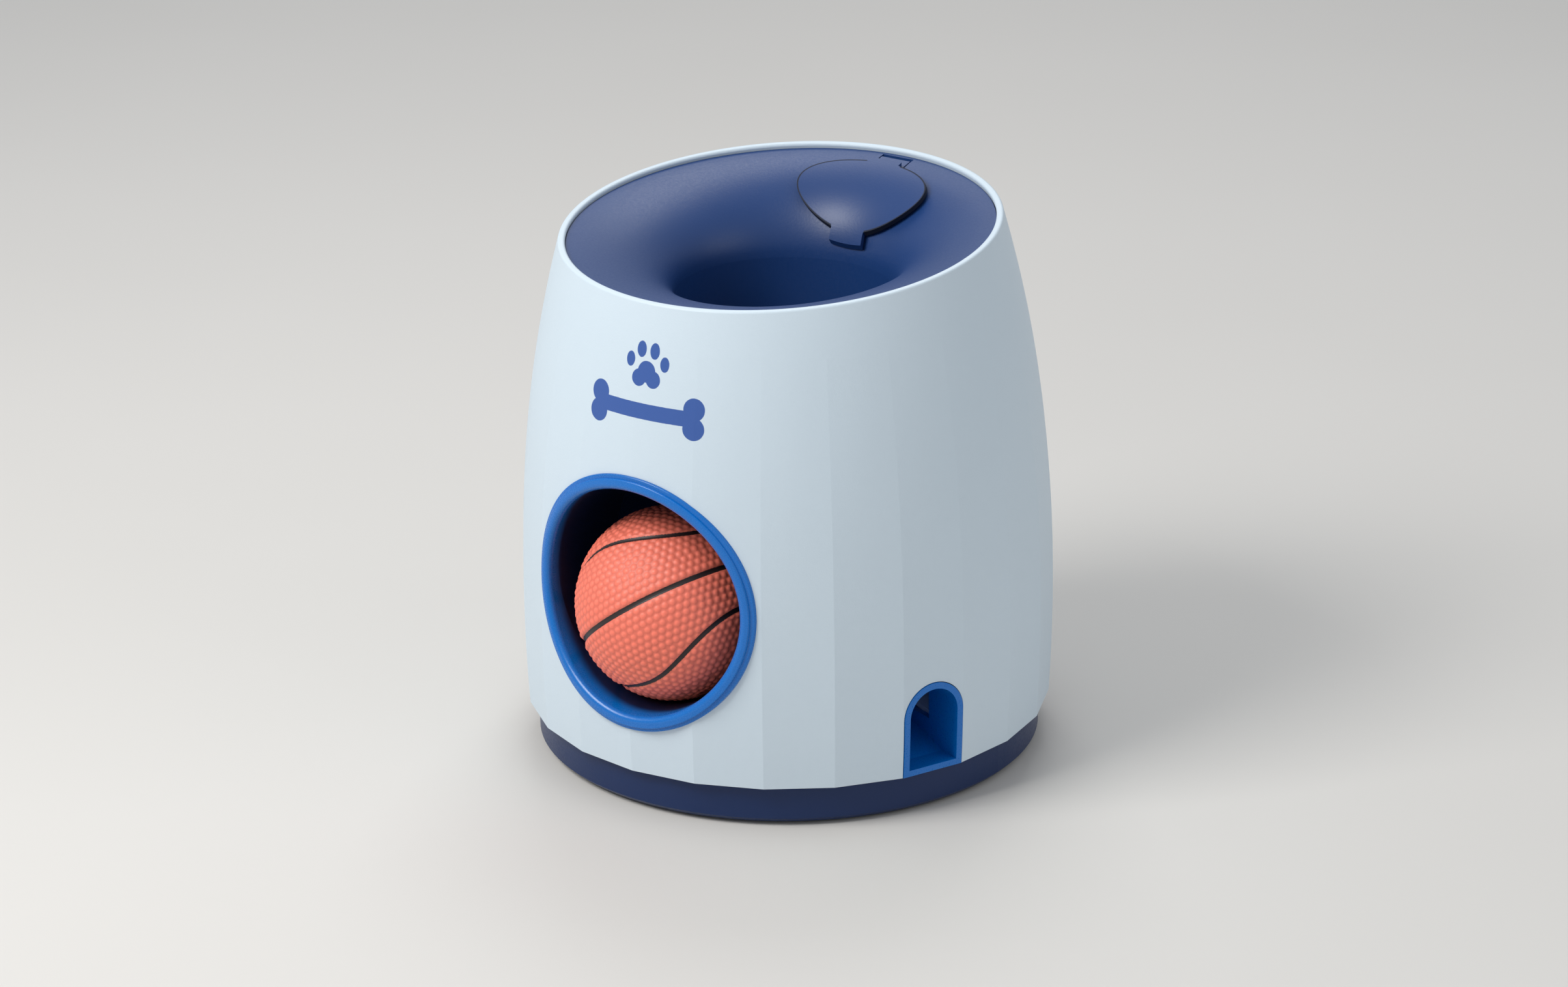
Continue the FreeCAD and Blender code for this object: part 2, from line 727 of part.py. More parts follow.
# Lid and its pin
lid_space = shaped("lid_space", dish_body(0.0, num("blank_height"), num("lid_roll"), num("lid_lift")))
lid_above = shaped("lid_above", dish_body(-num("lid_wall"), num("blank_height + over"), num("lid_roll"),
                                           num("lid_lift")))
lid_oval = doc.addObject("Part::Ellipse", "lid_oval")
lid_oval.setExpression("MajorRadius", full("lid_half_width"))
lid_oval.setExpression("MinorRadius", full("lid_half_length"))
lid_prism = doc.addObject("Part::Extrusion", "lid_prism")
lid_prism.Base = lid_oval
lid_prism.DirMode = "Custom"
lid_prism.Dir = Vector(0, 0, 1)
lid_prism.setExpression("LengthFwd", full("blank_height"))
lid_prism.setExpression("LengthRev", full("lid_prism_drop"))
lid_prism.Solid = True
lid_tab = block("lid_finger_tab", ("lid_tab_width", "lid_tab_length + lid_tab_lap", "blank_height"),
                ("-lid_tab_width / 2", "-lid_half_length - lid_tab_length", "-lid_prism_drop"))
lid_outline = fuse("lid_outline", lid_prism, lid_tab)
lid_outline.Placement = Placement(Vector(), Rotation(Vector(1, 0, 0), num("lid_tilt")))
lid_outline.setExpression("Placement.Base.y", full("lid_centre_y"))
lid_outline.setExpression("Placement.Base.z", full("lid_centre_z"))
hinge_neck = block("hinge_neck", ("knuckle_width", "hinge_neck_end_y - hinge_tab_y", "blank_height"),
                   ("-knuckle_width / 2", "hinge_tab_y", "hinge_z - hinge_tab_drop"))
lid_field = fuse("lid_field", lid_outline, hinge_neck)
# Flush with the dish over the notch, and joined to the raised plate by a short web
strip_under = shaped("strip_under", dish_body(num("lid_wall"), num("blank_height")))
strip_field = block("strip_field", ("knuckle_width", "hinge_strip_end_y - hinge_strip_y", "blank_height"),
                    ("-knuckle_width / 2", "hinge_strip_y", "hinge_z - hinge_tab_drop"))
knuckle = rod("knuckle", "knuckle_radius", "knuckle_width", ("-knuckle_width / 2", "hinge_y", "hinge_z"), "x")
hinge_web = block("hinge_web", ("knuckle_width", "hinge_neck_end_y - hinge_strip_y", "hinge_web_height"),
                  ("-knuckle_width / 2", "hinge_strip_y", "hinge_z"))
doc.recompute()
# The dish's lofts fuse soundly only when each is cut to the lid's field first
lid_plate = lid_space.Shape.common(lid_field.Shape).cut(lid_above.Shape)
hinge_strip = strip_under.Shape.common(strip_field.Shape).cut(dish_space.Shape)
lid_blank = shaped("lid_blank", lid_plate.fuse([hinge_web.Shape, hinge_strip, knuckle.Shape]))
treat_lid = cut("treat_lid", lid_blank,
                rod("knuckle_bore", "pin_radius + pin_play", "knuckle_width + 2 * over",
                    ("-knuckle_width / 2 - over", "hinge_y", "hinge_z"), "x"))
lid_hinge_pin = rod("lid_hinge_pin", "pin_radius", PIN_LENGTH, PIN_START, "x")

# Ball outlet liner
round_skin = shaped("bead_skin", round_body(num("bead_proud"), num("shell_foot_z"),
                                              num("crown_foot_z"), True))
seat_skin = shaped("seat_skin", facet_body(0.0, num("shell_foot_z"), num("crown_foot_z")))
low_skin = shaped("flange_skin", round_body(num("flange_proud"), num("shell_foot_z"),
                                            num("crown_foot_z"), True))
flange_rod = rod("flange_rod", "flange_radius", "joint_y - front_y", ("0", "front_y", "mouth_z"), "y")
bead_rod = rod("bead_rod", "bead_radius", "joint_y - front_y", ("0", "front_y", "mouth_z"), "y")
flange = cut("flange", fuse("flange_front", common("flange_foot", flange_rod, low_skin),
                            common("flange_bead", bead_rod, round_skin)), seat_skin)
liner_tube = common("liner_tube",
                    rod("liner_rod", "tunnel_outer", "joint_y - seat_gap - front_y",
                        ("0", "front_y", "tunnel_z"), "y"), round_skin)
liner_bore = rod("liner_bore", "tunnel_radius", "-mouth_y", ("0", "mouth_y", "tunnel_z"), "y")
mouth_bore = rod("mouth_bore", "mouth_radius", "mouth_y + over - front_y",
                 ("0", "front_y", "mouth_z"), "y")
liner_raw = cut("liner_raw", fuse("liner_blank", flange, liner_tube), liner_bore, mouth_bore)
doc.recompute()


ON_CIRCLE = 0.05
ON_FRONT = 0.3


def front_edges(shape, radius, proud):
    """A shape's edges at a distance from the mouth's axis and from the casing's round form."""
    found = []
    for i, edge in enumerate(shape.Edges, start=1):
        spots = [edge.valueAt(edge.FirstParameter + (edge.LastParameter - edge.FirstParameter) * k / 4)
                 for k in range(5)]
        far = [abs(math.hypot(p.x, p.z - num("mouth_z")) - num(radius)) for p in spots]
        out = [math.hypot(p.x, p.y) - wall_radius(p.z) - num(proud) for p in spots]
        if max(far) < ON_CIRCLE and max(abs(v) for v in out) < ON_FRONT:
            found.append(i)
    return found


liner_edges = [(i, num(bend), num(bend))
               for radius, proud, bend in (("flange_radius", "flange_proud", "flange_round"),
                                           ("bead_radius", "bead_proud", "flange_round"),
                                           ("mouth_radius", "bead_proud", "lip_round"))
               for i in front_edges(liner_raw.Shape, radius, proud)]
ball_outlet_liner = doc.addObject("Part::Fillet", "ball_outlet_liner")
ball_outlet_liner.Base = liner_raw
ball_outlet_liner.Edges = liner_edges

# Ball chute: a drop tube over a short tunnel, with a ramp between them

def ramp_wedge(name, drop, length):
    """The room under the ramp's line, moved down by a wall."""
    low = "tunnel_floor_z - (%s)" % drop
    return extruded(name, "YZ_Plane", [
        ("ramp_foot_y", low),
        ("ramp_back_y", "(ramp_back_y - ramp_foot_y) * ramp_rise + " + low),
        ("ramp_back_y", "0"),
        ("ramp_foot_y", "0"),
    ], length)


def duct(name, upright, level, start, reach):
    """An upright tube above the tunnel's axis and a level one below and in front."""
    tall = rod(name + "_tall", upright, "drop_top_z + over - tunnel_z" if reach else "drop_top_z - tunnel_z",
               ("0", "0", "tunnel_z"))
    front = rod(name + "_front", level, "-(%s)" % start, ("0", start, "tunnel_z"), "y")
    back = common(name + "_back",
                  rod(name + "_back_level", level, "drop_outer + over", ("0", "0", "tunnel_z"), "y"),
                  rod(name + "_back_tall", upright, "drop_top_z", ("0", "0", "0")))
    return fuse(name, tall, front, back)


duct_skin = cut("duct_skin", duct("duct_outside", "drop_outer", "tunnel_outer", "joint_y", False),
                ramp_wedge("under_ramp", "ramp_under", "wide"))
duct_room = cut("duct_room", duct("duct_inside", "drop_radius", "tunnel_radius", "joint_y - over", True),
                ramp_wedge("ramp_solid", "0", "wide"))
joint_ring = rod("joint_ring", "tunnel_outer + seat_gap + joint_wall", "joint_lap + joint_hold",
                 ("0", "joint_y - joint_lap", "tunnel_z"), "y")
joint_bore = rod("joint_bore", "tunnel_outer + seat_gap", "joint_lap",
                 ("0", "joint_y - joint_lap", "tunnel_z"), "y")
socket_bore = rod("socket_bore", "throat_outer + slip_gap", "socket_depth + over",
                  ("0", "0", "drop_top_z - socket_depth"))
throat_room = rod("throat_room", "throat_outer + slip_gap", "socket_depth + over",
                  ("0", "0", "drop_top_z - socket_depth"))
window = block("window", ("window_width", "drop_outer + over", "window_top_z - window_foot_z"),
               ("-window_width / 2", "0", "window_foot_z"))


def bracket(name, x, y, back):
    """An upright plate with a round end that carries the axle."""
    return fuse(name,
                block(name + "_plate", ("bracket_wall", "(%s) - (%s)" % (back, y), "2 * bracket_round"),
                      (x, y, "axle_z - bracket_round")),
                rod(name + "_end", "bracket_round", "bracket_wall", (x, "axle_y", "axle_z"), "x"))


left_bracket = bracket("left_bracket", "bracket_left_x", "bracket_left_y", "axle_y")
right_bracket = block("right_bracket", ("bracket_wall", "axle_y + housing_half - bracket_right_y",
                                        "2 * housing_half"),
                      ("bracket_right_x", "bracket_right_y", "bracket_foot_z"))
left_bush_hole = rod("left_bush_hole", "bush_outer + bush_press", "bracket_wall + 2 * over",
                     ("bracket_left_x - over", "axle_y", "axle_z"), "x")
right_axle_hole = rod("right_axle_hole", "axle_radius + slip_gap", "bracket_wall + 2 * over",
                      ("bracket_right_x - over", "axle_y", "axle_z"), "x")
DUCT_SCREWS = (("-duct_screw_x", "duct_screw_back_y"), ("duct_screw_x", "duct_screw_back_y"),
               ("0", "duct_screw_front_y"))
duct_posts, duct_pilots, duct_screw_items = [], [], []
for i, (x, y) in enumerate(DUCT_SCREWS, start=1):
    duct_posts.append(rod("duct_post_%d" % i, "post_radius", "tunnel_z - lap_z - seat_gap",
                          (x, y, "lap_z + seat_gap")))
    duct_pilots.append(rod("duct_pilot_%d" % i, "screw_radius + screw_bite",
                           "duct_screw_length + screw_spare", (x, y, "duct_seat_z")))
    base_posts.append(rod("duct_stand_%d" % i, "post_radius", "lap_z - foot_z", (x, y, "foot_z")))
    post_ways += screw_way("duct_way_%d" % i, (x, y, "duct_seat_z"), "duct_screw_length", "0", "lap_z + over")
    duct_screw_items.append(screw("duct_screw_%d" % i, "duct_screw_length", (x, y, "duct_seat_z")))
side_pilots, side_ways, side_screws = [], [], []
for i, y in enumerate(("side_screw_front_y", "side_screw_back_y"), start=1):
    side_pilots.append(rod("side_pilot_%d" % i, "screw_radius + screw_bite", "bracket_wall + 2 * over",
                           ("bracket_right_x - over", y, "side_screw_z"), "x"))
    side_ways.append(rod("side_way_%d" % i, "screw_radius + screw_play", "housing_length + 2 * over",
                         ("housing_x - over", y, "side_screw_z"), "x"))
    side_screws.append(screw("side_screw_%d" % i, "side_screw_length",
                             ("housing_end", y, "side_screw_z"), "x", True))
duct_walls = fuse("duct_walls", duct_skin, *duct_posts)
duct_open = cut("duct_open", duct_walls, duct_room, socket_bore, window)
joint_inside = rod("joint_inside", "tunnel_radius", "joint_lap + joint_hold + 2 * over",
                   ("0", "joint_y - joint_lap - over", "tunnel_z"), "y")
joint_collar = cut("joint_collar", joint_ring, joint_bore, joint_inside)
duct_joined = fuse("duct_joined", duct_open, joint_collar, left_bracket, right_bracket)
ball_chute = cut("ball_chute", duct_joined, throat_room, left_bush_hole, right_axle_hole,
                 *(duct_pilots + side_pilots))

# Doser: paddle, drum, axle, bushes, clips and spring
axle = rod("doser_axle", "axle_radius", "axle_length", ("axle_left_x", "axle_y", "axle_z"), "x")


def droop(item):
    """Turn a paddle piece built level toward -Y down to its rest angle about the axle."""
    item.Placement = Placement(Vector(), Rotation(Vector(1, 0, 0), num("paddle_droop")))
    item.setExpression("Placement.Base.y", full("axle_y"))
    item.setExpression("Placement.Base.z", full("axle_z"))
    return item


plate_core = block("plate_core", ("paddle_width", "paddle_reach - paddle_wall / 2", "paddle_wall"),
                   ("-paddle_width / 2", "-paddle_reach + paddle_wall / 2", "-paddle_wall / 2"))
plate_tip = rod("plate_tip", "paddle_tip_radius", "paddle_width",
                ("-paddle_width / 2", "-paddle_reach + paddle_wall / 2", "0"), "x")
plate_ribs = [block("plate_rib_%d" % i,
                    ("paddle_rib_wall", "paddle_reach - 2 * paddle_rib_end", "paddle_rib + paddle_wall"),
                    ("%s * paddle_width / 3 - paddle_rib_wall / 2" % side, "-paddle_reach + paddle_rib_end",
                     "-paddle_wall / 2 - paddle_rib"))
              for i, side in enumerate(("-1", "1"))]
hub = rod("hub", "hub_radius", "paddle_width + 2 * hub_reach",
          ("-paddle_width / 2 - hub_reach", "0", "0"), "x")
sleeve = rod("spring_sleeve", "sleeve_radius", "sleeve_length",
             ("-paddle_width / 2 - sleeve_length", "0", "0"), "x")
hub_bore = rod("hub_bore", "axle_radius + hub_gap", "paddle_width + 4 * sleeve_length",
               ("-paddle_width / 2 - 2 * sleeve_length", "0", "0"), "x")
paddle_blank = fuse("paddle_blank", plate_core, plate_tip, hub, sleeve, *plate_ribs)
strike_paddle = droop(cut("strike_paddle", paddle_blank, hub_bore))
drum_flat_cut = block("drum_flat_cut", ("drum_length + 2 * over", "4 * drum_radius", "drum_radius"),
                      ("drum_x - over", "axle_y - 2 * drum_radius", "axle_z + drum_flat"))
dosing_drum = cut("dosing_drum",
                  rod("drum_core", "drum_radius", "drum_length", ("drum_x", "axle_y", "axle_z"), "x"),
                  drum_flat_cut,
                  rod("drum_bore_hole", "axle_radius + hub_gap", "drum_length + 2 * over",
                      ("drum_x - over", "axle_y", "axle_z"), "x"))


def bush(name, inside_x, length, flange_x):
    """A plain bearing bush with one flange."""
    body = rod(name + "_body", "bush_outer", length, (inside_x, "axle_y", "axle_z"), "x")
    flange_disc = rod(name + "_flange", "bush_flange_radius", "bush_flange",
                      (flange_x, "axle_y", "axle_z"), "x")
    bore = rod(name + "_bore", "axle_radius + axle_play", "(%s) + 2 * (bush_flange + over)" % length,
               (inside_x + " - bush_flange - over", "axle_y", "axle_z"), "x")
    return cut(name, fuse(name + "_blank", body, flange_disc), bore)


axle_bushes = group("axle_bushes",
                    bush("left_bush", "bracket_left_x", "bracket_wall", "bracket_left_x - bush_flange"),
                    bush("right_bush", "housing_end - housing_wall", "housing_wall", "housing_end"))


def clip(name, x):
    """A split washer that grips the axle."""
    return cut(name,
               rod(name + "_disc", "clip_radius", "clip_wall", (x, "axle_y", "axle_z"), "x"),
               rod(name + "_bore", "axle_radius + hub_gap", "clip_wall + 2 * over",
                   (x + " - over", "axle_y", "axle_z"), "x"),
               block(name + "_split", ("clip_wall + 2 * over", "clip_slit", "2 * clip_radius"),
                     (x + " - over", "axle_y - clip_slit / 2", "axle_z")))


axle_clips = group("axle_clips", clip("left_clip", "clip_left_x"), clip("right_clip", "clip_right_x"))


def torsion_spring():
    """A coil about +Z with a hooked leg at its foot and a stub at its top: one bent wire."""
    radius, pitch, bend = num("spring_radius"), num("spring_pitch"), num("spring_bend")
    rise = pitch / (2 * math.pi * radius)
    ahead = Vector(0, 1, -rise).normalize()
    across = Vector(0, -rise, -1).normalize()
    foot, top = Vector(radius, 0, 0), Vector(radius, 0, num("spring_length"))
    corner = foot + ahead * (num("spring_leg") - bend)
    slant = math.sqrt(0.5)
    middle = corner + (ahead * slant + across * (1 - slant)) * bend
    hook = corner + (ahead + across) * bend
    tip = hook + across * num("spring_hook")
    coil = Part.makeHelix(pitch, num("spring_length"), radius, 0, True)
    path = Part.Wire([Part.LineSegment(tip, hook).toShape(), Part.Arc(hook, middle, corner).toShape(),
                      Part.LineSegment(corner, foot).toShape()] + coil.Edges
                     + [Part.LineSegment(top, top - ahead * num("spring_stub")).toShape()])
    section = Part.Wire([Part.Circle(tip, across, num("spring_wire / 2")).toShape()])
    return path.makePipeShell([section], True, False)


return_spring = shaped("return_spring", torsion_spring())
return_spring.Placement = Placement(Vector(), Rotation(Vector(1, 0, -1), 180))
return_spring.setExpression("Placement.Base.x",
                            full("-paddle_width / 2 - hub_reach - spring_wire / 2 - slip_gap"))
return_spring.setExpression("Placement.Base.y", full("axle_y"))
return_spring.setExpression("Placement.Base.z", full("axle_z"))

housing_box = block("housing_box", ("housing_length", "2 * housing_half", "2 * housing_half"),
                    ("housing_x", "axle_y - housing_half", "axle_z - housing_half"))
housing_bore = rod("housing_bore", "drum_bore", "housing_length - housing_wall + over",
                   ("housing_x - over", "axle_y", "axle_z"), "x")
housing_inlet = block("housing_inlet", ("neck_width", "neck_depth", "housing_half + over"),
                      ("neck_x - neck_width / 2", "neck_y - neck_depth / 2", "axle_z"))
housing_outlet = block("housing_outlet", ("neck_width", "chute_mouth_back_y - axle_y + housing_half + over",
                                          "chute_mouth_top_z - axle_z + housing_half + over"),
                       ("neck_x - neck_width / 2", "axle_y - housing_half - over",
                        "axle_z - housing_half - over"))
right_bush_hole = rod("right_bush_hole", "bush_outer + bush_press", "housing_wall + 2 * over",
                      ("housing_end - housing_wall - over", "axle_y", "axle_z"), "x")
drum_housing = cut("drum_housing", housing_box, housing_bore, housing_inlet, housing_outlet,
                   right_bush_hole, *side_ways)

# Treat hopper


def sector(name, radius, start, end, low, height):
    """A slice of a cylinder between two angles."""
    item = doc.addObject("Part::Cylinder", name)
    item.setExpression("Radius", full(radius))
    item.setExpression("Height", full(height))
    item.setExpression("Angle", full("(%s) - (%s)" % (end, start)))
    item.Placement = Placement(Vector(), Rotation(Vector(0, 0, 1), num(start)))
    item.setExpression("Placement.Base.z", full(low))
    return item


def hopper_vee(name, drop, length):
    """Room above the hopper's floor, which slopes to a level shelf round the neck."""
    far, near = "hopper_outer + over", "neck_x - neck_width / 2 - neck_shelf"
    low = "hopper_floor_z - (%s)" % drop
    other = "neck_x + neck_width / 2 + neck_shelf"
    return extruded(name, "XZ_Plane", [
        (near, low),
        (other, low),
        (far, low + " + (%s - (%s)) * hopper_rise" % (far, other)),
        (far, "hopper_top_z + blank_height"),
        ("-(%s)" % far, "hopper_top_z + blank_height"),
        ("-(%s)" % far, low + " + (%s + %s) * hopper_rise" % (near, far)),
    ], length)


hopper_out = common("hopper_out",
                    cut("hopper_ring_out",
                        sector("hopper_far", "hopper_outer", "hopper_start", "hopper_end",
                               "axle_z", "hopper_top_z - axle_z"),
                        rod("hopper_near", "hopper_inner", "hopper_top_z", ("0", "0", "0"))),
                    hopper_vee("hopper_under", "hopper_wall", "wide"))
hopper_in = common("hopper_in",
                   cut("hopper_ring_in",
                       sector("hopper_far_in", "hopper_outer - hopper_wall", "hopper_start + hopper_turn_in",
                              "hopper_end - hopper_turn_in", "axle_z", "hopper_top_z - axle_z + over"),
                       rod("hopper_near_in", "hopper_inner + hopper_wall", "hopper_top_z + 2 * over",
                           ("0", "0", "0"))),
                   hopper_vee("hopper_over", "0", "wide"))
neck_way = block("neck_way", ("neck_width", "neck_depth", "3 * hopper_wall"),
                 ("neck_x - neck_width / 2", "neck_y - neck_depth / 2", "hopper_floor_z - 2 * hopper_wall"))
ears = []
for i, (start, end, at) in enumerate((
        ("hopper_start - ear_swing", "hopper_start + ear_bite", EARS[0]),
        ("hopper_end - ear_bite", "hopper_end + ear_swing", EARS[1])), start=1):
    ring = cut("ear_ring_%d" % i,
               sector("ear_far_%d" % i, "hopper_mid + ear_radius", start, end,
                      "hopper_top_z - ear_wall", "ear_wall"),
               rod("ear_near_%d" % i, "hopper_mid - ear_radius", "hopper_top_z", ("0", "0", "0")))
    x, y = spot("hopper_mid", at)
    ears += [ring, rod("ear_end_%d" % i, "ear_radius", "ear_wall", (x, y, "hopper_top_z - ear_wall"))]
ear_holes = [rod("ear_hole_%d" % i, "screw_radius + screw_play", "3 * ear_wall",
                 spot("hopper_mid", at) + ("hopper_top_z - 2 * ear_wall",))
             for i, at in enumerate(EARS, start=1)]
treat_hopper = cut("treat_hopper",
                   fuse("hopper_blank", cut("hopper_shell", hopper_out, hopper_in), *ears),
                   neck_way, *ear_holes)

# Treat slide


SLIDE_STEPS = 9


def slide_body(name, wall, floor_drop, top_rise, spare):
    """A channel's outside or inside: upright box sections swept down round the drop tube."""
    wires = []
    start, end = num("slide_start") + spare, num("slide_end") - spare
    for i in range(SLIDE_STEPS + 1):
        angle = start + (end - start) * i / SLIDE_STEPS
        down = (num("slide_start") - angle) / (num("slide_start") - num("slide_end"))
        ease = min(max(down, 0.0), 1.0)
        near = num("slide_inner_top") + (num("slide_inner_foot") - num("slide_inner_top")) * ease
        far = num("slide_outer_top") + (num("slide_outer_foot") - num("slide_outer_top")) * ease
        level = num("slide_top_z") + (num("slide_foot_z") - num("slide_top_z")) * down
        ends = ((near - wall, level - floor_drop), (far + wall, level - floor_drop),
                (far + wall, level + top_rise), (near - wall, level + top_rise))
        spots = [polar(r, math.radians(angle), z) for r, z in ends]
        wires.append(Part.makePolygon(spots + spots[:1]))
    return shaped(name, Part.makeLoft(wires, True, False))


slide_out = slide_body("slide_out", num("slide_wall"), num("slide_wall"), num("slide_rail"), 0.0)
slide_in = slide_body("slide_in", 0.0, 0.0, num("slide_rail + blank_height"), num("slide_spare"))
legs, leg_pilots, slide_screw_items = [], [], []
for i, angle in enumerate(("front_leg", "back_leg"), start=1):
    x, y = spot("leg_ring", angle)
    level = ("slide_foot_z + (slide_top_z - slide_foot_z) * (%s - slide_end)"
             " / (slide_start - slide_end)" % angle)
    legs.append(rod("slide_leg_%d" % i, "leg_radius", level + " + over - leg_boss_z",
                    (x, y, "leg_boss_z + seat_gap")))
    leg_pilots.append(rod("leg_pilot_%d" % i, "screw_radius + screw_bite", "leg_screw_length + screw_spare",
                          (x, y, "leg_seat_z")))
    base_posts.append(rod("leg_stand_%d" % i, "post_radius", "leg_boss_z - foot_z", (x, y, "foot_z")))
    post_ways += screw_way("leg_way_%d" % i, (x, y, "leg_seat_z"), "leg_screw_length", "0",
                           "leg_boss_z + over")
    slide_screw_items.append(screw("slide_screw_%d" % i, "leg_screw_length", (x, y, "leg_seat_z")))
foot_trim = treat_block("foot_trim", ("belly_radius", "belly_radius", "slide_top_z"),
                        ("arch_back", "arch_half + seat_gap - belly_radius", "0"))
treat_slide = cut("treat_slide", fuse("slide_blank", slide_out, *legs), slide_in, foot_trim, *leg_pilots)

# Treat outlet liner
arch_skin = shaped("arch_skin", facet_body(num("arch_proud"), num("shell_foot_z"), num("crown_foot_z")))
arch_out = treat_frame(arch("arch_out", "arch_half", "shell_foot_z", "arch_back", "belly_radius + over"))
arch_in = treat_frame(arch("arch_in", "arch_inner", "arch_floor_z", "arch_back + arch_wall",
                           "belly_radius + 2 * over"))
arch_ramp = treat_frame(extruded("arch_ramp", "XZ_Plane", [
    ("arch_back + arch_bite", "arch_floor_z - arch_bite"),
    ("arch_back + arch_ramp_reach", "arch_floor_z - arch_bite"),
    ("arch_back + arch_ramp_reach", "arch_floor_z"),
    ("arch_back + arch_bite", "arch_floor_z + arch_ramp"),
], "2 * arch_inner + arch_bite"))
ARCH_FLANGE_TOP = num("arch_z + arch_half + arch_flange + over")
flange_arch = treat_frame(arch("arch_flange_arch", "arch_half + arch_flange", "shell_foot_z", "arch_back",
                               "belly_radius"))
flange_skin = shaped("arch_flange_skin", round_body(-num("shell_wall + 2 * slip_gap"),
                                                     num("shell_foot_z - over"), ARCH_FLANGE_TOP))
flange_core = shaped("arch_flange_core", round_body(-num("shell_wall + 2 * slip_gap + arch_flange_wall"),
                                                     num("shell_foot_z - 2 * over"),
                                                     ARCH_FLANGE_TOP + num("over")))
flange_plate = cut("arch_flange_plate", common("arch_flange_band", flange_arch, flange_skin), flange_core)
side_door = treat_block("side_door",
                        ("side_door_end - side_door_start", "arch_wall + 2 * over",
                                      "side_door_top_z - slide_foot_z"),
                        ("side_door_start", "arch_inner - over", "slide_foot_z"))
liner_box = fuse("liner_box", common("arch_body", arch_out, arch_skin), flange_plate)
treat_outlet_liner = cut("treat_outlet_liner",
                         fuse("liner_with_ramp", cut("liner_open", liner_box, arch_in), arch_ramp),
                         side_door)

# Base tray, pads and the rest
tray_outline = turned("tray_outline", [
    ("0", "foot_z"), ("base_radius - base_edge", "foot_z"), ("base_radius", "foot_z + base_edge"),
    ("base_radius", "lap_z"), ("base_radius - base_wall", "lap_z"),
    ("base_radius - base_wall", "floor_top_z"), ("0", "floor_top_z"),
])
PADS = [("0", "0")] + [spot("pad_ring", angle) for angle in ("30", "120", "210", "300")]
pad_items, pad_rooms = [], []
for i, (x, y) in enumerate(PADS, start=1):
    pad_items.append(rod("pad_%d" % i, "pad_radius", "pad_height", (x, y, "0")))
    pad_rooms.append(rod("pad_room_%d" % i, "pad_radius + seat_gap", "pad_recess + foot_z", (x, y, "0")))
liner_room = treat_block("liner_room",
                         ("liner_room_depth + over", "2 * (arch_half + arch_flange + slip_gap)", "lap_z"),
                         ("belly_radius - liner_room_depth", "-(arch_half + arch_flange + slip_gap)",
                          "shell_foot_z - seat_gap"))
liner_stand = treat_block("liner_stand",
                          ("liner_stand_length", "liner_stand_wall", "shell_foot_z - seat_gap - foot_z"),
                          ("arch_back", "-liner_stand_wall / 2", "foot_z"))
tray_blank = fuse("tray_blank", tray_outline, liner_stand, *base_posts)
base_tray = cut("base_tray", tray_blank, liner_room, *(post_ways + pad_rooms))
rubber_feet = group("rubber_feet", *pad_items)
shell_screws = group("shell_screws", *shell_screw_items)
chute_screws = group("chute_screws", *duct_screw_items)
hopper_screws = group("hopper_screws", *ear_screws)
housing_screws = group("housing_screws", *side_screws)
slide_screws = group("slide_screws", *slide_screw_items)

# Toy ball with three moulded seams on parallel rings
ball_z = "tunnel_floor_z + ball_rest_gap + ball_radius"
ball_core = doc.addObject("Part::Sphere", "ball_core")
ball_core.setExpression("Radius", full("ball_radius"))
ball_core.setExpression("Placement.Base.y", full("-ball_reach"))
ball_core.setExpression("Placement.Base.z", full(ball_z))
SEAM_AXIS = Vector(-0.597, 0.152, 0.788).normalize()
toy_ball = ball_core
for i, latitude in enumerate(("0", "seam_latitude", "-seam_latitude"), start=1):
    ring = doc.addObject("Part::Torus", "seam_%d" % i)
    ring.setExpression("Radius1", full("ball_radius * cos((%s) * 1 deg)" % latitude))
    ring.setExpression("Radius2", full("seam_radius"))
    ring.Placement = Placement(Vector(), Rotation(Vector(0, 0, 1), SEAM_AXIS))
    for name, middle, part in zip("xyz", ("0", "-ball_reach", ball_z), SEAM_AXIS):
        ring.setExpression("Placement.Base." + name,
                           full("%s + %.6f * ball_radius * sin((%s) * 1 deg)" % (middle, part, latitude)))
    toy_ball = cut("ball_less_seam_%d" % i, toy_ball, ring)
toy_ball.Label = "toy_ball"

doc.recompute()
NODES = (
    outer_shell, funnel_cover, treat_lid, lid_hinge_pin, ball_outlet_liner, ball_chute, strike_paddle,
    dosing_drum, axle, axle_bushes, axle_clips, return_spring, drum_housing, treat_hopper, treat_slide,
    treat_outlet_liner, base_tray, rubber_feet, shell_screws, chute_screws, hopper_screws,
    housing_screws, slide_screws, toy_ball,
)
for item in doc.Objects:
    if "Invalid" in item.State or "Error" in item.State:
        raise RuntimeError("%s is %s %s" % (item.Label, item.State, item.getStatusString()))
for item in NODES:
    if item.Shape.isNull() or not item.Shape.isValid():
        raise RuntimeError(item.Label + " has no valid shape")
    item.Shape.exportStep("parts/%s.step" % item.Label)
    print(item.Label, len(item.Shape.Solids), round(item.Shape.Volume, 1))
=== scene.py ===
"""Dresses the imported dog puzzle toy: camera, light, materials and the pieces with fine form."""
import math

import bpy
import numpy as np
from mathutils import Matrix, Vector


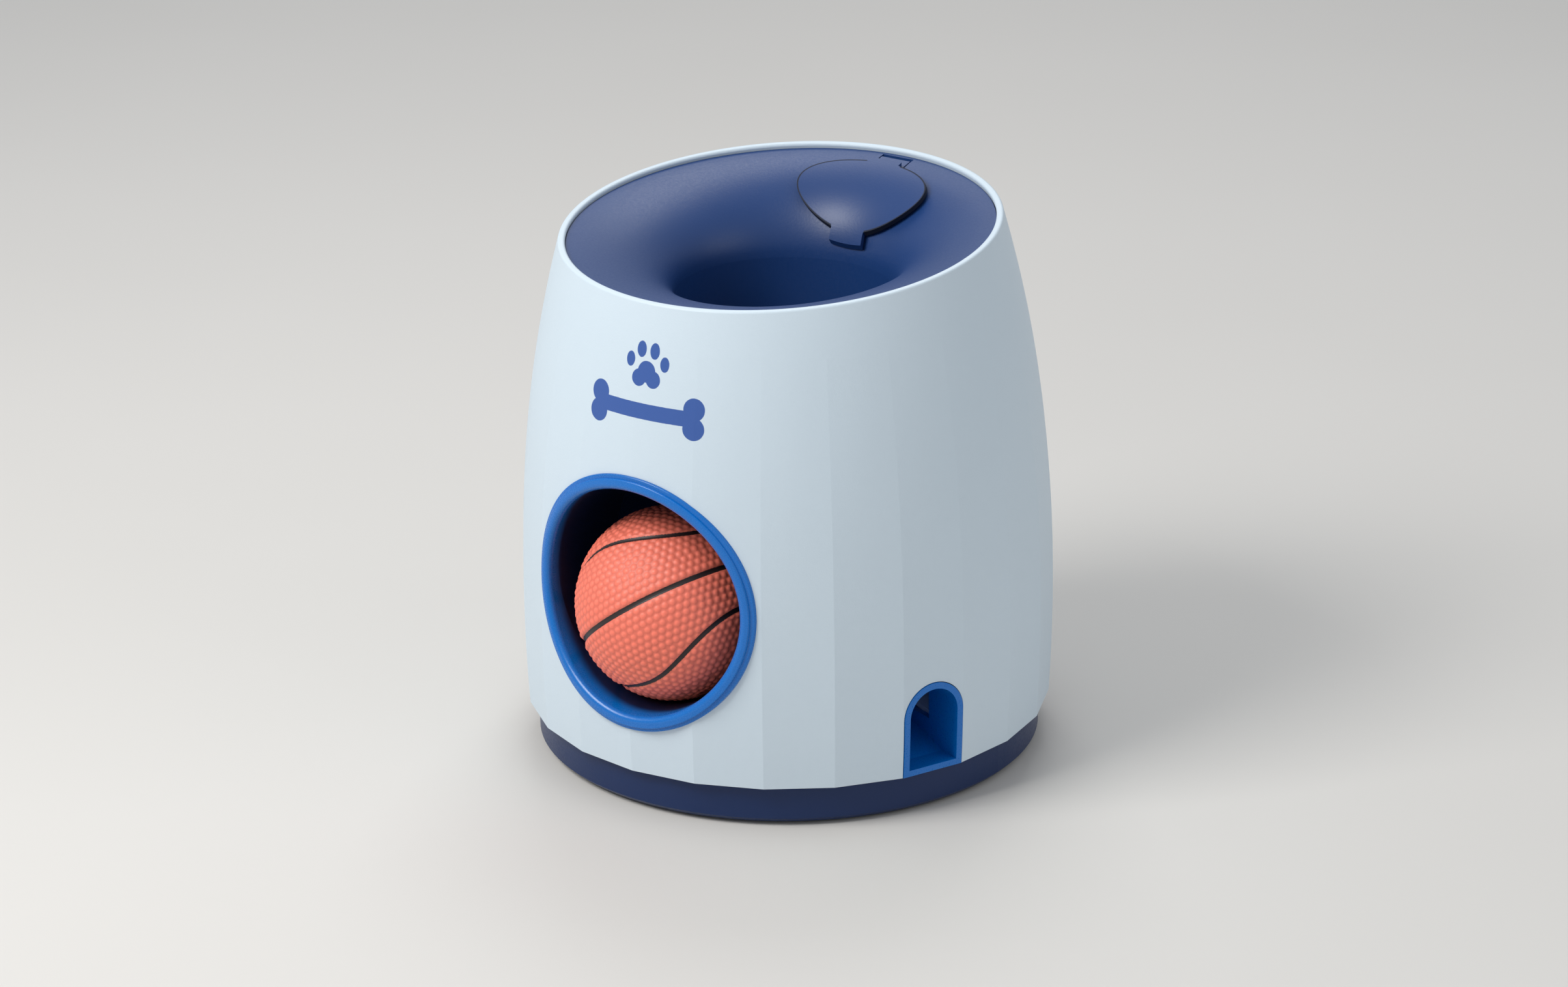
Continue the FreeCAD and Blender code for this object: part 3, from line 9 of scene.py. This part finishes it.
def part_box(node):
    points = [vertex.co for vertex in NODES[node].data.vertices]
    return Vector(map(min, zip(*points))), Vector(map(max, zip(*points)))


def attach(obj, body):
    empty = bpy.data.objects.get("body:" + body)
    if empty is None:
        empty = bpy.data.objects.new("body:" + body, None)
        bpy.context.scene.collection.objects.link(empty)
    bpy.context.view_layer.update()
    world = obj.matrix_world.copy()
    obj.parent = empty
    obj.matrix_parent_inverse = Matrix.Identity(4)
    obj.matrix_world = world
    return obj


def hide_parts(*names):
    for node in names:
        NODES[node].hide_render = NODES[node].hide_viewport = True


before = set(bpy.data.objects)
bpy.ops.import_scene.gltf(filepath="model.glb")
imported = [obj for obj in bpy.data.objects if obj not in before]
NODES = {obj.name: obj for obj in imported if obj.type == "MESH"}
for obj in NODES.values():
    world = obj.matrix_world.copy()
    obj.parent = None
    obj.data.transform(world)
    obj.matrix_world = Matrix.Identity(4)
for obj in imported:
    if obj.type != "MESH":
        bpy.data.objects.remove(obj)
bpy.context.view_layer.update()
MM = 0.001

# Camera: the photograph's view, as a distance, an azimuth, a pitch and an aim height.
VIEW_DISTANCE = 1.500
VIEW_AZIMUTH = math.radians(35.5)
VIEW_PITCH = math.radians(20.87)
VIEW_ROLL = math.radians(-0.60)
AIM_HEIGHT = 0.0792
IMAGE_WIDTH = 2408
FOCAL_PIXELS = 7232
SHIFT_PIXELS = 4.22
SENSOR = 36.0
FAR_CLIP = 20.0


def add_camera():
    """The camera looks at the toy's middle, from in front and a little to the right."""
    data = bpy.data.cameras.new("photo_camera")
    data.sensor_width = SENSOR
    data.lens = SENSOR * FOCAL_PIXELS / IMAGE_WIDTH
    data.shift_x = -SHIFT_PIXELS / IMAGE_WIDTH
    data.clip_end = FAR_CLIP
    camera = bpy.data.objects.new("photo_camera", data)
    flat, rise = math.cos(VIEW_PITCH), math.sin(VIEW_PITCH)
    out = Vector((flat * math.sin(VIEW_AZIMUTH), -flat * math.cos(VIEW_AZIMUTH), rise))
    right = Vector((math.cos(VIEW_AZIMUTH), math.sin(VIEW_AZIMUTH), 0))
    up = out.cross(right)
    turn, lean = math.cos(VIEW_ROLL), math.sin(VIEW_ROLL)
    right, up = right * turn + up * lean, up * turn - right * lean
    place = Matrix((right, up, out)).transposed().to_4x4()
    place.translation = out * VIEW_DISTANCE + Vector((0, 0, AIM_HEIGHT))
    camera.matrix_world = place
    bpy.context.collection.objects.link(camera)
    bpy.context.scene.camera = camera


# Light: each lamp's azimuth, distance, height, size, power and colour

LAMPS = (
    ("key_light", -25, 0.85, 0.95, 0.55, 11.6, (1.0, 0.99, 0.97)),
    ("back_light", -150, 0.75, 1.15, 0.6, 4.5, (0.97, 0.98, 1.0)),
    ("fill_light", 95, 1.1, 0.6, 0.9, 2.0, (0.96, 0.98, 1.0)),
)
LAMP_AIM = Vector((0, 0, 0.08))
SKY_COLOUR = (0.86, 0.90, 0.95)
SKY_STRENGTH = 0.52


def add_lamp(name, azimuth, distance, height, size, power, colour):
    """A square soft box that points at the toy, at an azimuth counted as the camera's is."""
    data = bpy.data.lights.new(name, "AREA")
    data.shape = "SQUARE"
    data.size = size
    data.energy = power
    data.color = colour
    lamp = bpy.data.objects.new(name, data)
    turn = math.radians(azimuth)
    place = Vector((distance * math.sin(turn), -distance * math.cos(turn), height))
    lamp.location = place
    lamp.rotation_euler = (LAMP_AIM - place).to_track_quat("-Z", "Y").to_euler()
    bpy.context.collection.objects.link(lamp)


def add_lights():
    for lamp in LAMPS:
        add_lamp(*lamp)
    world = bpy.data.worlds.new("studio")
    world.use_nodes = True
    back = world.node_tree.nodes["Background"]
    back.inputs["Color"].default_value = (*SKY_COLOUR, 1)
    back.inputs["Strength"].default_value = SKY_STRENGTH
    bpy.context.scene.world = world
    bpy.context.scene.view_settings.view_transform = "Standard"


# Shader building


# A noise's values lie mostly between these two
NOISE_LOW, NOISE_HIGH = 0.3, 0.7


class Socket:
    """One value in a material's node tree, with Python's arithmetic."""

    def __init__(self, tree, link):
        self.tree = tree
        self.link = link

    def math(self, operation, *others):
        node = self.tree.nodes.new("ShaderNodeMath")
        node.operation = operation
        for slot, value in zip(node.inputs, (self,) + others):
            join(self.tree, value, slot)
        return Socket(self.tree, node.outputs[0])

    def __add__(self, other):
        return self.math("ADD", other)

    def __sub__(self, other):
        return self.math("SUBTRACT", other)

    def __mul__(self, other):
        return self.math("MULTIPLY", other)

    def __truediv__(self, other):
        return self.math("DIVIDE", other)

    __radd__ = __add__
    __rmul__ = __mul__

    def __rsub__(self, other):
        return (self * -1.0) + other

    def __abs__(self):
        return self.math("ABSOLUTE")

    def smaller(self, other):
        return self.math("MINIMUM", other)

    def larger(self, other):
        return self.math("MAXIMUM", other)

    def ramp(self, low, high, start=0.0, end=1.0):
        """Goes smoothly from start to end as the value goes from low to high."""
        node = self.tree.nodes.new("ShaderNodeMapRange")
        node.interpolation_type = "SMOOTHSTEP"
        for slot, value in zip(node.inputs, (self, low, high, start, end)):
            join(self.tree, value, slot)
        return Socket(self.tree, node.outputs[0])


    def spread(self, start, end):
        """Turns a noise's usual range into a range of values."""
        return self.ramp(NOISE_LOW, NOISE_HIGH, start, end)


def join(tree, value, slot):
    """Links a socket into a slot, or sets a constant there."""
    if isinstance(value, Socket):
        tree.links.new(value.link, slot)
    else:
        slot.default_value = value


class Material:
    """A Principled material, with helpers for the nodes that vary over the surface."""

    def __init__(self, name, colour, roughness, **fixed):
        self.data = bpy.data.materials.new(name)
        self.data.use_nodes = True
        self.tree = self.data.node_tree
        self.shader = self.tree.nodes["Principled BSDF"]
        self.shader.inputs["Base Color"].default_value = (*colour, 1)
        self.shader.inputs["Roughness"].default_value = roughness
        for key, value in fixed.items():
            self.shader.inputs[key.replace("_", " ")].default_value = value
        place = self.tree.nodes.new("ShaderNodeTexCoord")
        self.place = Socket(self.tree, place.outputs["Object"])

    def node(self, kind, inputs=(), output=0, **settings):
        """Any node: its settings, its inputs by name or number, and one output."""
        item = self.tree.nodes.new(kind)
        for key, value in settings.items():
            setattr(item, key, value)
        for key, value in dict(inputs).items():
            join(self.tree, value, item.inputs[key])
        return Socket(self.tree, item.outputs[output])

    def axes(self):
        """The place's x, y and z."""
        split = self.tree.nodes.new("ShaderNodeSeparateXYZ")
        join(self.tree, self.place, split.inputs[0])
        return [Socket(self.tree, out) for out in split.outputs]

    def noise(self, size, detail=2.0, roughness=0.5):
        """Soft random values with features of about a size in metres."""
        return self.node("ShaderNodeTexNoise", {
            "Vector": self.place, "Scale": 1.0 / size, "Detail": detail, "Roughness": roughness})

    def mix(self, share, first, second):
        """One colour turning into another."""
        item = self.tree.nodes.new("ShaderNodeMix")
        item.data_type = "RGBA"
        join(self.tree, share, item.inputs[0])
        for slot, value in ((item.inputs[6], first), (item.inputs[7], second)):
            join(self.tree, value if isinstance(value, Socket) else (*value, 1), slot)
        return Socket(self.tree, item.outputs[2])

    def bump(self, height, distance):
        return self.node("ShaderNodeBump", {"Height": height, "Distance": distance, "Strength": 1.0})

    def drift(self, colour, size, low, high):
        """A colour that drifts over the surface between two shades of itself."""
        return self.mix(self.noise(size), shade(colour, low), shade(colour, high))

    def set(self, key, value):
        join(self.tree, value, self.shader.inputs[key])


def shade(colour, factor):
    """A colour made darker or lighter."""
    return tuple(min(c * factor, 1.0) for c in colour)


SHELL_COLOUR = (0.575, 0.668, 0.740)
PRINT_COLOUR = (0.035, 0.095, 0.330)
FUNNEL_COLOUR = (0.008, 0.040, 0.155)
RING_COLOUR = (0.000, 0.140, 0.500)
# Painted shade: the colour the outlet ring's blue darkens to down its tunnel
TUNNEL_SHADE_COLOUR = (0.003, 0.010, 0.045)
BASE_COLOUR = (0.004, 0.020, 0.085)
INNER_COLOUR = (0.52, 0.58, 0.64)
BALL_COLOUR = (0.92, 0.200, 0.130)
SEAM_COLOUR = (0.018, 0.010, 0.010)
DRUM_COLOUR = (0.66, 0.66, 0.63)
BUSH_COLOUR = (0.75, 0.73, 0.66)
FOOT_COLOUR = (0.022, 0.022, 0.026)
STEEL_COLOUR = (0.60, 0.61, 0.63)

# Moulded plastic: its slow drift, the detail of its grain, and how far its roughness strays
DRIFT_SIZE = 35 * MM
GRAIN_DETAIL, GRAIN_ROUGHNESS = 3.0, 0.6
SMOOTHER, ROUGHER = 0.04, 0.05

# Plain mouldings: colour, roughness, grain and depth in millimetres, drift, fixed values, their nodes
MOULDINGS = {
    "funnel_plastic": (FUNNEL_COLOUR, 0.42, 0.7, 0.03, 0.05, {}, ("funnel_cover",)),
    "arch_plastic": (RING_COLOUR, 0.30, 0.5, 0.005, 0.03, {}, ("treat_outlet_liner",)),
    "navy_plastic": (BASE_COLOUR, 0.38, 0.8, 0.02, 0.05, {"Specular_IOR_Level": 0.35},
                     ("base_tray", "ball_chute")),
    "inner_plastic": (INNER_COLOUR, 0.45, 1.0, 0.02, 0.05, {},
                      ("drum_housing", "treat_hopper", "treat_slide")),
    "drum_plastic": (DRUM_COLOUR, 0.42, 1.0, 0.02, 0.05, {}, ("strike_paddle", "dosing_drum")),
    "bush_plastic": (BUSH_COLOUR, 0.30, 2.0, 0.01, 0.05, {}, ("axle_bushes",)),
    "foot_rubber": (FOOT_COLOUR, 0.70, 0.5, 0.04, 0.05, {}, ("rubber_feet",)),
}


def moulded(name, colour, roughness, grain, depth, drift, fixed):
    """Moulded plastic: an even colour with a slow drift, and a fine eroded texture."""
    item = Material(name, colour, roughness, **fixed)
    item.set("Base Color", item.drift(colour, DRIFT_SIZE, 1 - drift, 1 + drift))
    fine = item.noise(grain * MM, GRAIN_DETAIL, GRAIN_ROUGHNESS)
    item.set("Roughness", fine.spread(roughness - SMOOTHER, roughness + ROUGHER))
    item.set("Normal", item.bump(fine, depth * MM))
    return item


STEEL_ROUGHNESS = 0.32
MARK_SIZE, MARK_DETAIL, MARK_DEPTH = 0.4 * MM, 4.0, 0.02 * MM
STEEL_DRIFT_SIZE = 4 * MM


def plated_steel():
    """Zinc plated steel with fine turning marks."""
    item = Material("plated_steel", STEEL_COLOUR, STEEL_ROUGHNESS, Metallic=1.0)
    fine = item.noise(MARK_SIZE, MARK_DETAIL)
    item.set("Roughness", fine.spread(STEEL_ROUGHNESS - 0.08, STEEL_ROUGHNESS + 0.12))
    item.set("Base Color", item.drift(STEEL_COLOUR, STEEL_DRIFT_SIZE, 0.85, 1.1))
    item.set("Normal", item.bump(fine, MARK_DEPTH))
    return item


# The print above the ball outlet, in millimetres along the shell and up it
PRINT_AZIMUTH = math.radians(-88)
PRINT_ARC_RADIUS = 77.5
PAW_HEIGHT, BONE_HEIGHT = 144.8, 131.0
PAW_SCALE = 1.3
# Each disc of the paw: its middle, along and up, and its radius
HEEL = ((0, -1.4, 2.5), (-2.0, -3.0, 2.0), (2.0, -3.0, 2.0))
TOES = ((-1.9, 3.6, 1.35), (1.9, 3.6, 1.35), (-4.9, 0.9, 1.25), (4.9, 0.9, 1.25))
TOE_STRETCH = 1.4
SHAFT_HALF, SHAFT_ROUND = 15.5, 2.4
KNOB_ALONG, KNOB_UP, KNOB_RADIUS = 17.2, 2.9, 3.5
INK_WOBBLE_SIZE, INK_WOBBLE = 1.2 * MM, 0.12
INK_CLEAR, INK_FULL = 0.14, -0.02
INK_SHINE = 0.08


def disc(u, v, along, up, radius, stretch=1.0):
    """Distance outside a disc, or an upright oval whose height is stretched."""
    across = u - along
    rise = (v - up) * (1 / stretch)
    return (across * across + rise * rise).math("SQRT") - radius


def paw_distance(u, v):
    """A heel pad of three discs under four oval toes."""
    return nearest([disc(u, v, *pad) for pad in HEEL] + [disc(u, v, *toe, TOE_STRETCH) for toe in TOES])


def bone_distance(u, v):
    """A shaft with two knobs at each end."""
    past = (abs(u) - SHAFT_HALF).larger(0.0)
    shaft = (past * past + v * v).math("SQRT") - SHAFT_ROUND
    knobs = [disc(abs(u), v, KNOB_ALONG, side * KNOB_UP, KNOB_RADIUS) for side in (-1, 1)]
    return nearest([shaft] + knobs)


def nearest(shapes):
    """The least of several distances."""
    found = shapes[0]
    for shape in shapes[1:]:
        found = found.smaller(shape)
    return found


SHELL_ROUGHNESS, SHELL_SMOOTHEST, SHELL_ROUGHEST = 0.48, 0.44, 0.54
SHELL_GRAIN, SHELL_DEPTH, SHELL_DRIFT_SIZE = 0.5 * MM, 0.035 * MM, 50 * MM


def shell_plastic():
    """Pale moulded plastic with a fine eroded texture, and a printed paw and bone."""
    item = Material("shell_plastic", SHELL_COLOUR, SHELL_ROUGHNESS)
    x, y, z = item.axes()
    u = (y.math("ARCTAN2", x) - PRINT_AZIMUTH) * PRINT_ARC_RADIUS
    v = z * (1 / MM)
    paw = paw_distance(u * (1 / PAW_SCALE), (v - PAW_HEIGHT) * (1 / PAW_SCALE)) * PAW_SCALE
    shape = paw.smaller(bone_distance(u, v - BONE_HEIGHT))
    ink = (shape + item.noise(INK_WOBBLE_SIZE) * INK_WOBBLE).ramp(INK_CLEAR, INK_FULL)
    plastic = item.drift(SHELL_COLOUR, SHELL_DRIFT_SIZE, 0.985, 1.01)
    item.set("Base Color", item.mix(ink, plastic, PRINT_COLOUR))
    fine = item.noise(SHELL_GRAIN, GRAIN_DETAIL, GRAIN_ROUGHNESS)
    item.set("Roughness", fine.spread(SHELL_SMOOTHEST, SHELL_ROUGHEST) - ink * INK_SHINE)
    item.set("Normal", item.bump(fine, SHELL_DEPTH))
    return item


# The outlet ring's front lies on a round form; a little way behind it, painted shade darkens its blue
# down the tunnel
RING_FRONT = 86.3 * MM
RING_BRIGHT, RING_DARK = 3.5 * MM, 9.0 * MM
RING_FADE_SIZE, RING_FADE = 6 * MM, 0.8 * MM
RING_ROUGHNESS, RING_SMOOTHEST, RING_ROUGHEST, TUNNEL_ROUGHER = 0.26, 0.24, 0.30, 0.15
RING_GRAIN, RING_DEPTH, RING_DRIFT_SIZE = 0.4 * MM, 0.004 * MM, 30 * MM


def ring_plastic():
    """Satin bright blue at the lip, with painted shade turning it dark down the tunnel behind it."""
    item = Material("ring_plastic", RING_COLOUR, RING_ROUGHNESS)
    x, y, _ = item.axes()
    front = (x * x * -1.0 + RING_FRONT ** 2).math("SQRT")
    # Painted shade: the blue darkens with distance behind the ring's front, down the tunnel
    painted_tunnel_shade = (y + front + item.noise(RING_FADE_SIZE) * RING_FADE).ramp(RING_BRIGHT, RING_DARK)
    blue = item.drift(RING_COLOUR, RING_DRIFT_SIZE, 0.96, 1.04)
    item.set("Base Color", item.mix(painted_tunnel_shade, blue, TUNNEL_SHADE_COLOUR))
    fine = item.noise(RING_GRAIN)
    item.set("Roughness", fine.spread(RING_SMOOTHEST, RING_ROUGHEST) + painted_tunnel_shade * TUNNEL_ROUGHER)
    item.set("Normal", item.bump(fine, RING_DEPTH))
    return item


# The lid's oval outline is tilted about X; the shadow line inside it leaves out the finger tab
LID_Y, LID_Z = 46.2 * MM, 164.8 * MM
LID_TILT = math.radians(35)
LID_HALF_WIDTH, LID_HALF_LENGTH = 23.4 * MM, 13.8 * MM
TAB_HALF, TAB_FADE = 6.1 * MM, 0.4 * MM
LINE_EDGE, LINE_FULL = 0.65 * MM, 0.25 * MM
LINE_SHADE, LINE_ROUGHER = 0.12, 0.3


def lid_plastic():
    """The funnel's plastic, with the fine shadow line that runs round the lid's oval edge.

    The oval is r = 1 with r^2 = (x / LID_HALF_WIDTH)^2 + (v / LID_HALF_LENGTH)^2, where v is measured
    up the tilt.  A point is about (1 - r) r / slope inside it, slope being r times r's gradient.
    """
    _, roughness, grain, depth, drift, _, _ = MOULDINGS["funnel_plastic"]
    item = Material("lid_plastic", FUNNEL_COLOUR, roughness)
    x, y, z = item.axes()
    along = ((y - LID_Y) * math.cos(LID_TILT) + (z - LID_Z) * math.sin(LID_TILT)) * (1 / LID_HALF_LENGTH)
    across = abs(x) * (1 / LID_HALF_WIDTH)
    reach = (across * across + along * along).math("SQRT")
    slope = ((across * (1 / LID_HALF_WIDTH)).math("POWER", 2.0)
             + (along * (1 / LID_HALF_LENGTH)).math("POWER", 2.0)).math("SQRT")
    inside = (1.0 - reach) * reach / slope
    line = inside.ramp(LINE_EDGE, LINE_FULL) * abs(x).ramp(TAB_HALF, TAB_HALF + TAB_FADE)
    blue = item.drift(FUNNEL_COLOUR, DRIFT_SIZE, 1 - drift, 1 + drift)
    item.set("Base Color", item.mix(line, blue, shade(FUNNEL_COLOUR, LINE_SHADE)))
    item.set("Roughness", line * LINE_ROUGHER + roughness)
    fine = item.noise(grain * MM, GRAIN_DETAIL, GRAIN_ROUGHNESS)
    item.set("Normal", item.bump(fine, depth * MM))
    return item


# Toy ball

BALL_LOW, BALL_HIGH = (np.array(corner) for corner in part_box("toy_ball"))
BALL_CENTRE = (BALL_LOW + BALL_HIGH) / 2
BALL_RADIUS = float((BALL_HIGH - BALL_LOW)[0]) / 2
BALL_AXIS = np.array((-0.5972, 0.1520, 0.7876))
BALL_FRONT = np.array((0.4743, -0.7249, 0.4995))
BALL_SIDE = np.cross(BALL_AXIS, BALL_FRONT)
BALL_ROWS, BALL_COLUMNS = 250, 384
DOME_PITCH, DOME_RADIUS, DOME_HEIGHT = 2.55 * MM, 1.18 * MM, 0.42 * MM
DOME_BAND = 4
DOMES_START = 2.2
GROOVE_FLAT, GROOVE_END = 0.7, 1.25
SEAM_HALF, SEAM_DEPTH = 0.85 * MM, 0.55 * MM
SEAM_MEAN, SEAM_SWING, SEAM_TURN = math.radians(36.5), math.radians(10.5), math.radians(42)
MERIDIAN = math.radians(-86)
LEAST_COSINE = 0.2


def smooth(value, low, high):
    """0 below low, 1 above high, an S curve between."""
    share = np.clip((value - low) / (high - low), 0, 1)
    return share * share * (3 - 2 * share)


def dome_heights(latitude, longitude):
    """Rows of domes along the parallels, every second row half a pitch on.

    A dome is a paraboloid, DOME_HEIGHT (1 - d^2 / DOME_RADIUS^2), about its middle.  Rows in one
    band have the same number of domes, so that they stay packed like a honeycomb.
    """
    row_step = DOME_PITCH * math.sqrt(3) / 2 / BALL_RADIUS
    least = np.full(latitude.shape, DOME_RADIUS)
    for shift in (-1, 0, 1):
        row = np.round(latitude / row_step) + shift
        band = (np.abs(row) // DOME_BAND + 0.5) * DOME_BAND * row_step
        count = np.maximum(np.round(2 * np.pi * BALL_RADIUS * np.cos(band) / DOME_PITCH), 1)
        turn = longitude / (2 * np.pi) * count - 0.5 * (row % 2)
        along = (turn - np.round(turn)) / count * 2 * np.pi * BALL_RADIUS * np.cos(latitude)
        across = (latitude - row * row_step) * BALL_RADIUS
        least = np.minimum(least, np.hypot(along, across))
    return DOME_HEIGHT * (1 - (least / DOME_RADIUS) ** 2)


def seam_distances(latitude, longitude):
    """Distance to the nearest seam: the equator, one meridian and a wave on each side."""
    meridian = np.arcsin(np.cos(latitude) * np.sin(longitude - MERIDIAN))
    found = np.minimum(np.abs(latitude), np.abs(meridian))
    phase = 2 * (longitude + SEAM_TURN)
    wave = SEAM_MEAN + SEAM_SWING * np.cos(phase)
    slope = -2 * SEAM_SWING * np.sin(phase) / np.maximum(np.cos(latitude), LEAST_COSINE)
    for side in (-1, 1):
        found = np.minimum(found, np.abs(latitude - side * wave) / np.sqrt(1 + slope ** 2))
    return found * BALL_RADIUS


def ball_point(latitude, longitude):
    """A point of the ball, and its distance from a seam.

    The radius is the ball's less a dome, plus the dome's height, less a groove along each seam.
    """
    near = seam_distances(latitude, longitude)
    domes = dome_heights(latitude, longitude) * smooth(near, SEAM_HALF, DOMES_START * SEAM_HALF)
    groove = SEAM_DEPTH * (1 - smooth(near, GROOVE_FLAT * SEAM_HALF, GROOVE_END * SEAM_HALF))
    radius = BALL_RADIUS - DOME_HEIGHT + domes - groove
    ring = np.cos(latitude)
    out = ((ring * np.cos(longitude))[..., None] * BALL_FRONT
           + (ring * np.sin(longitude))[..., None] * BALL_SIDE
           + np.sin(latitude)[..., None] * BALL_AXIS)
    return BALL_CENTRE + radius[..., None] * out, near


def closed_ball(rows, columns):
    """Faces of a globe: quads between the parallels, and a fan at each pole."""
    row, column = np.meshgrid(np.arange(rows - 1), np.arange(columns), indexing="ij")
    after = (column + 1) % columns
    first = 1
    corners = [(row, column), (row, after), (row + 1, after), (row + 1, column)]
    quads = np.stack([first + r * columns + c for r, c in corners], -1).reshape(-1, 4)
    spoke = np.arange(columns)
    beside = (spoke + 1) % columns
    last = first + (rows - 1) * columns
    pole = first + rows * columns
    south = np.stack([np.zeros_like(spoke), first + beside, first + spoke], -1)
    north = np.stack([np.full_like(spoke, pole), last + spoke, last + beside], -1)
    return quads.tolist() + south.tolist() + north.tolist()


def add_ball():
    """The ball as one globe mesh, with its seam distances and dome shares for the paint."""
    latitude = np.linspace(-np.pi / 2, np.pi / 2, BALL_ROWS + 2)[1:-1]
    longitude = np.arange(BALL_COLUMNS) / BALL_COLUMNS * 2 * np.pi
    lat, lon = np.meshgrid(latitude, longitude, indexing="ij")
    lat = np.concatenate(([-np.pi / 2], lat.ravel(), [np.pi / 2]))
    lon = np.concatenate(([0.0], lon.ravel(), [0.0]))
    points, near = ball_point(lat, lon)
    mesh = bpy.data.meshes.new("rubber_ball")
    mesh.from_pydata(points.tolist(), [], closed_ball(BALL_ROWS, BALL_COLUMNS))
    mesh.polygons.foreach_set("use_smooth", np.ones(len(mesh.polygons), dtype=bool))
    for name, values in (("seam_distance", near), ("dome_share", dome_heights(lat, lon) / DOME_HEIGHT)):
        layer = mesh.attributes.new(name, "FLOAT", "POINT")
        layer.data.foreach_set("value", values.astype(np.float32))
    ball = bpy.data.objects.new("rubber_ball", mesh)
    bpy.context.collection.objects.link(ball)
    ball.data.materials.append(ball_rubber().data)
    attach(ball, "ball")
    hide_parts("toy_ball")


RUBBER_ROUGHNESS, RUBBER_SMOOTHEST, RUBBER_ROUGHEST = 0.50, 0.44, 0.56
RUBBER_GRAIN, RUBBER_GRAIN_DETAIL, RUBBER_DEPTH = 0.3 * MM, 3.0, 0.02 * MM
RUBBER_DRIFT_SIZE = 20 * MM
PAINT_END, PAINT_FULL = 1.18 * SEAM_HALF, 1.02 * SEAM_HALF
PAINT_RAGGED_SIZE, PAINT_RAGGED = 0.6 * MM, 0.25 * MM
VALLEY, HILLSIDE, VALLEY_SHADE = 0.05, 0.7, 0.78


def ball_rubber():
    """Coral rubber, a little darker between its domes, with painted black seams."""
    item = Material("ball_rubber", BALL_COLOUR, RUBBER_ROUGHNESS)
    near = item.node("ShaderNodeAttribute", output="Fac", attribute_name="seam_distance")
    share = item.node("ShaderNodeAttribute", output="Fac", attribute_name="dome_share")
    paint = (near + item.noise(PAINT_RAGGED_SIZE) * PAINT_RAGGED).ramp(PAINT_END, PAINT_FULL)
    rubber = item.drift(BALL_COLOUR, RUBBER_DRIFT_SIZE, 0.94, 1.04)
    rubber = item.mix(share.ramp(VALLEY, HILLSIDE), shade(BALL_COLOUR, VALLEY_SHADE), rubber)
    item.set("Base Color", item.mix(paint, rubber, SEAM_COLOUR))
    fine = item.noise(RUBBER_GRAIN, RUBBER_GRAIN_DETAIL)
    item.set("Roughness", fine.spread(RUBBER_SMOOTHEST, RUBBER_ROUGHEST))
    item.set("Normal", item.bump(fine, RUBBER_DEPTH))
    return item


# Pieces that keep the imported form


def set_material(names, material):
    """Gives one material to the nodes of these names."""
    for name in names:
        NODES[name].data.materials.clear()
        NODES[name].data.materials.append(material.data)


def dress_cad_nodes():
    """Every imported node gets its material; toy_ball has its own fine piece instead."""
    for name, (colour, roughness, grain, depth, drift, fixed, nodes) in MOULDINGS.items():
        set_material(nodes, moulded(name, colour, roughness, grain, depth, drift, fixed))
    set_material(("outer_shell",), shell_plastic())
    set_material(("ball_outlet_liner",), ring_plastic())
    set_material(("treat_lid",), lid_plastic())
    screws = [name for name in NODES if name.endswith("_screws")]
    steel = ("lid_hinge_pin", "doser_axle", "axle_clips", "return_spring", *screws)
    set_material(steel, plated_steel())


FLOOR_REACH = 6.0
FLOOR_COLOUR, FLOOR_DARK, FLOOR_LIGHT = (0.62, 0.60, 0.57), (0.60, 0.58, 0.55), (0.65, 0.63, 0.60)
FLOOR_ROUGHNESS, FLOOR_DRIFT_SIZE, FLOOR_DETAIL = 0.65, 0.4, 3.0


def add_floor():
    """A plain pale floor."""
    data = bpy.data.meshes.new("floor")
    corners = [(x * FLOOR_REACH, y * FLOOR_REACH, 0) for x, y in ((-1, -1), (1, -1), (1, 1), (-1, 1))]
    data.from_pydata(corners, [], [(0, 1, 2, 3)])
    floor = bpy.data.objects.new("floor", data)
    bpy.context.collection.objects.link(floor)
    item = Material("pale_floor", FLOOR_COLOUR, FLOOR_ROUGHNESS)
    slow = item.noise(FLOOR_DRIFT_SIZE, FLOOR_DETAIL)
    item.set("Base Color", item.mix(slow, FLOOR_DARK, FLOOR_LIGHT))
    floor.data.materials.append(item.data)


add_camera()
add_lights()
add_floor()
dress_cad_nodes()
add_ball()
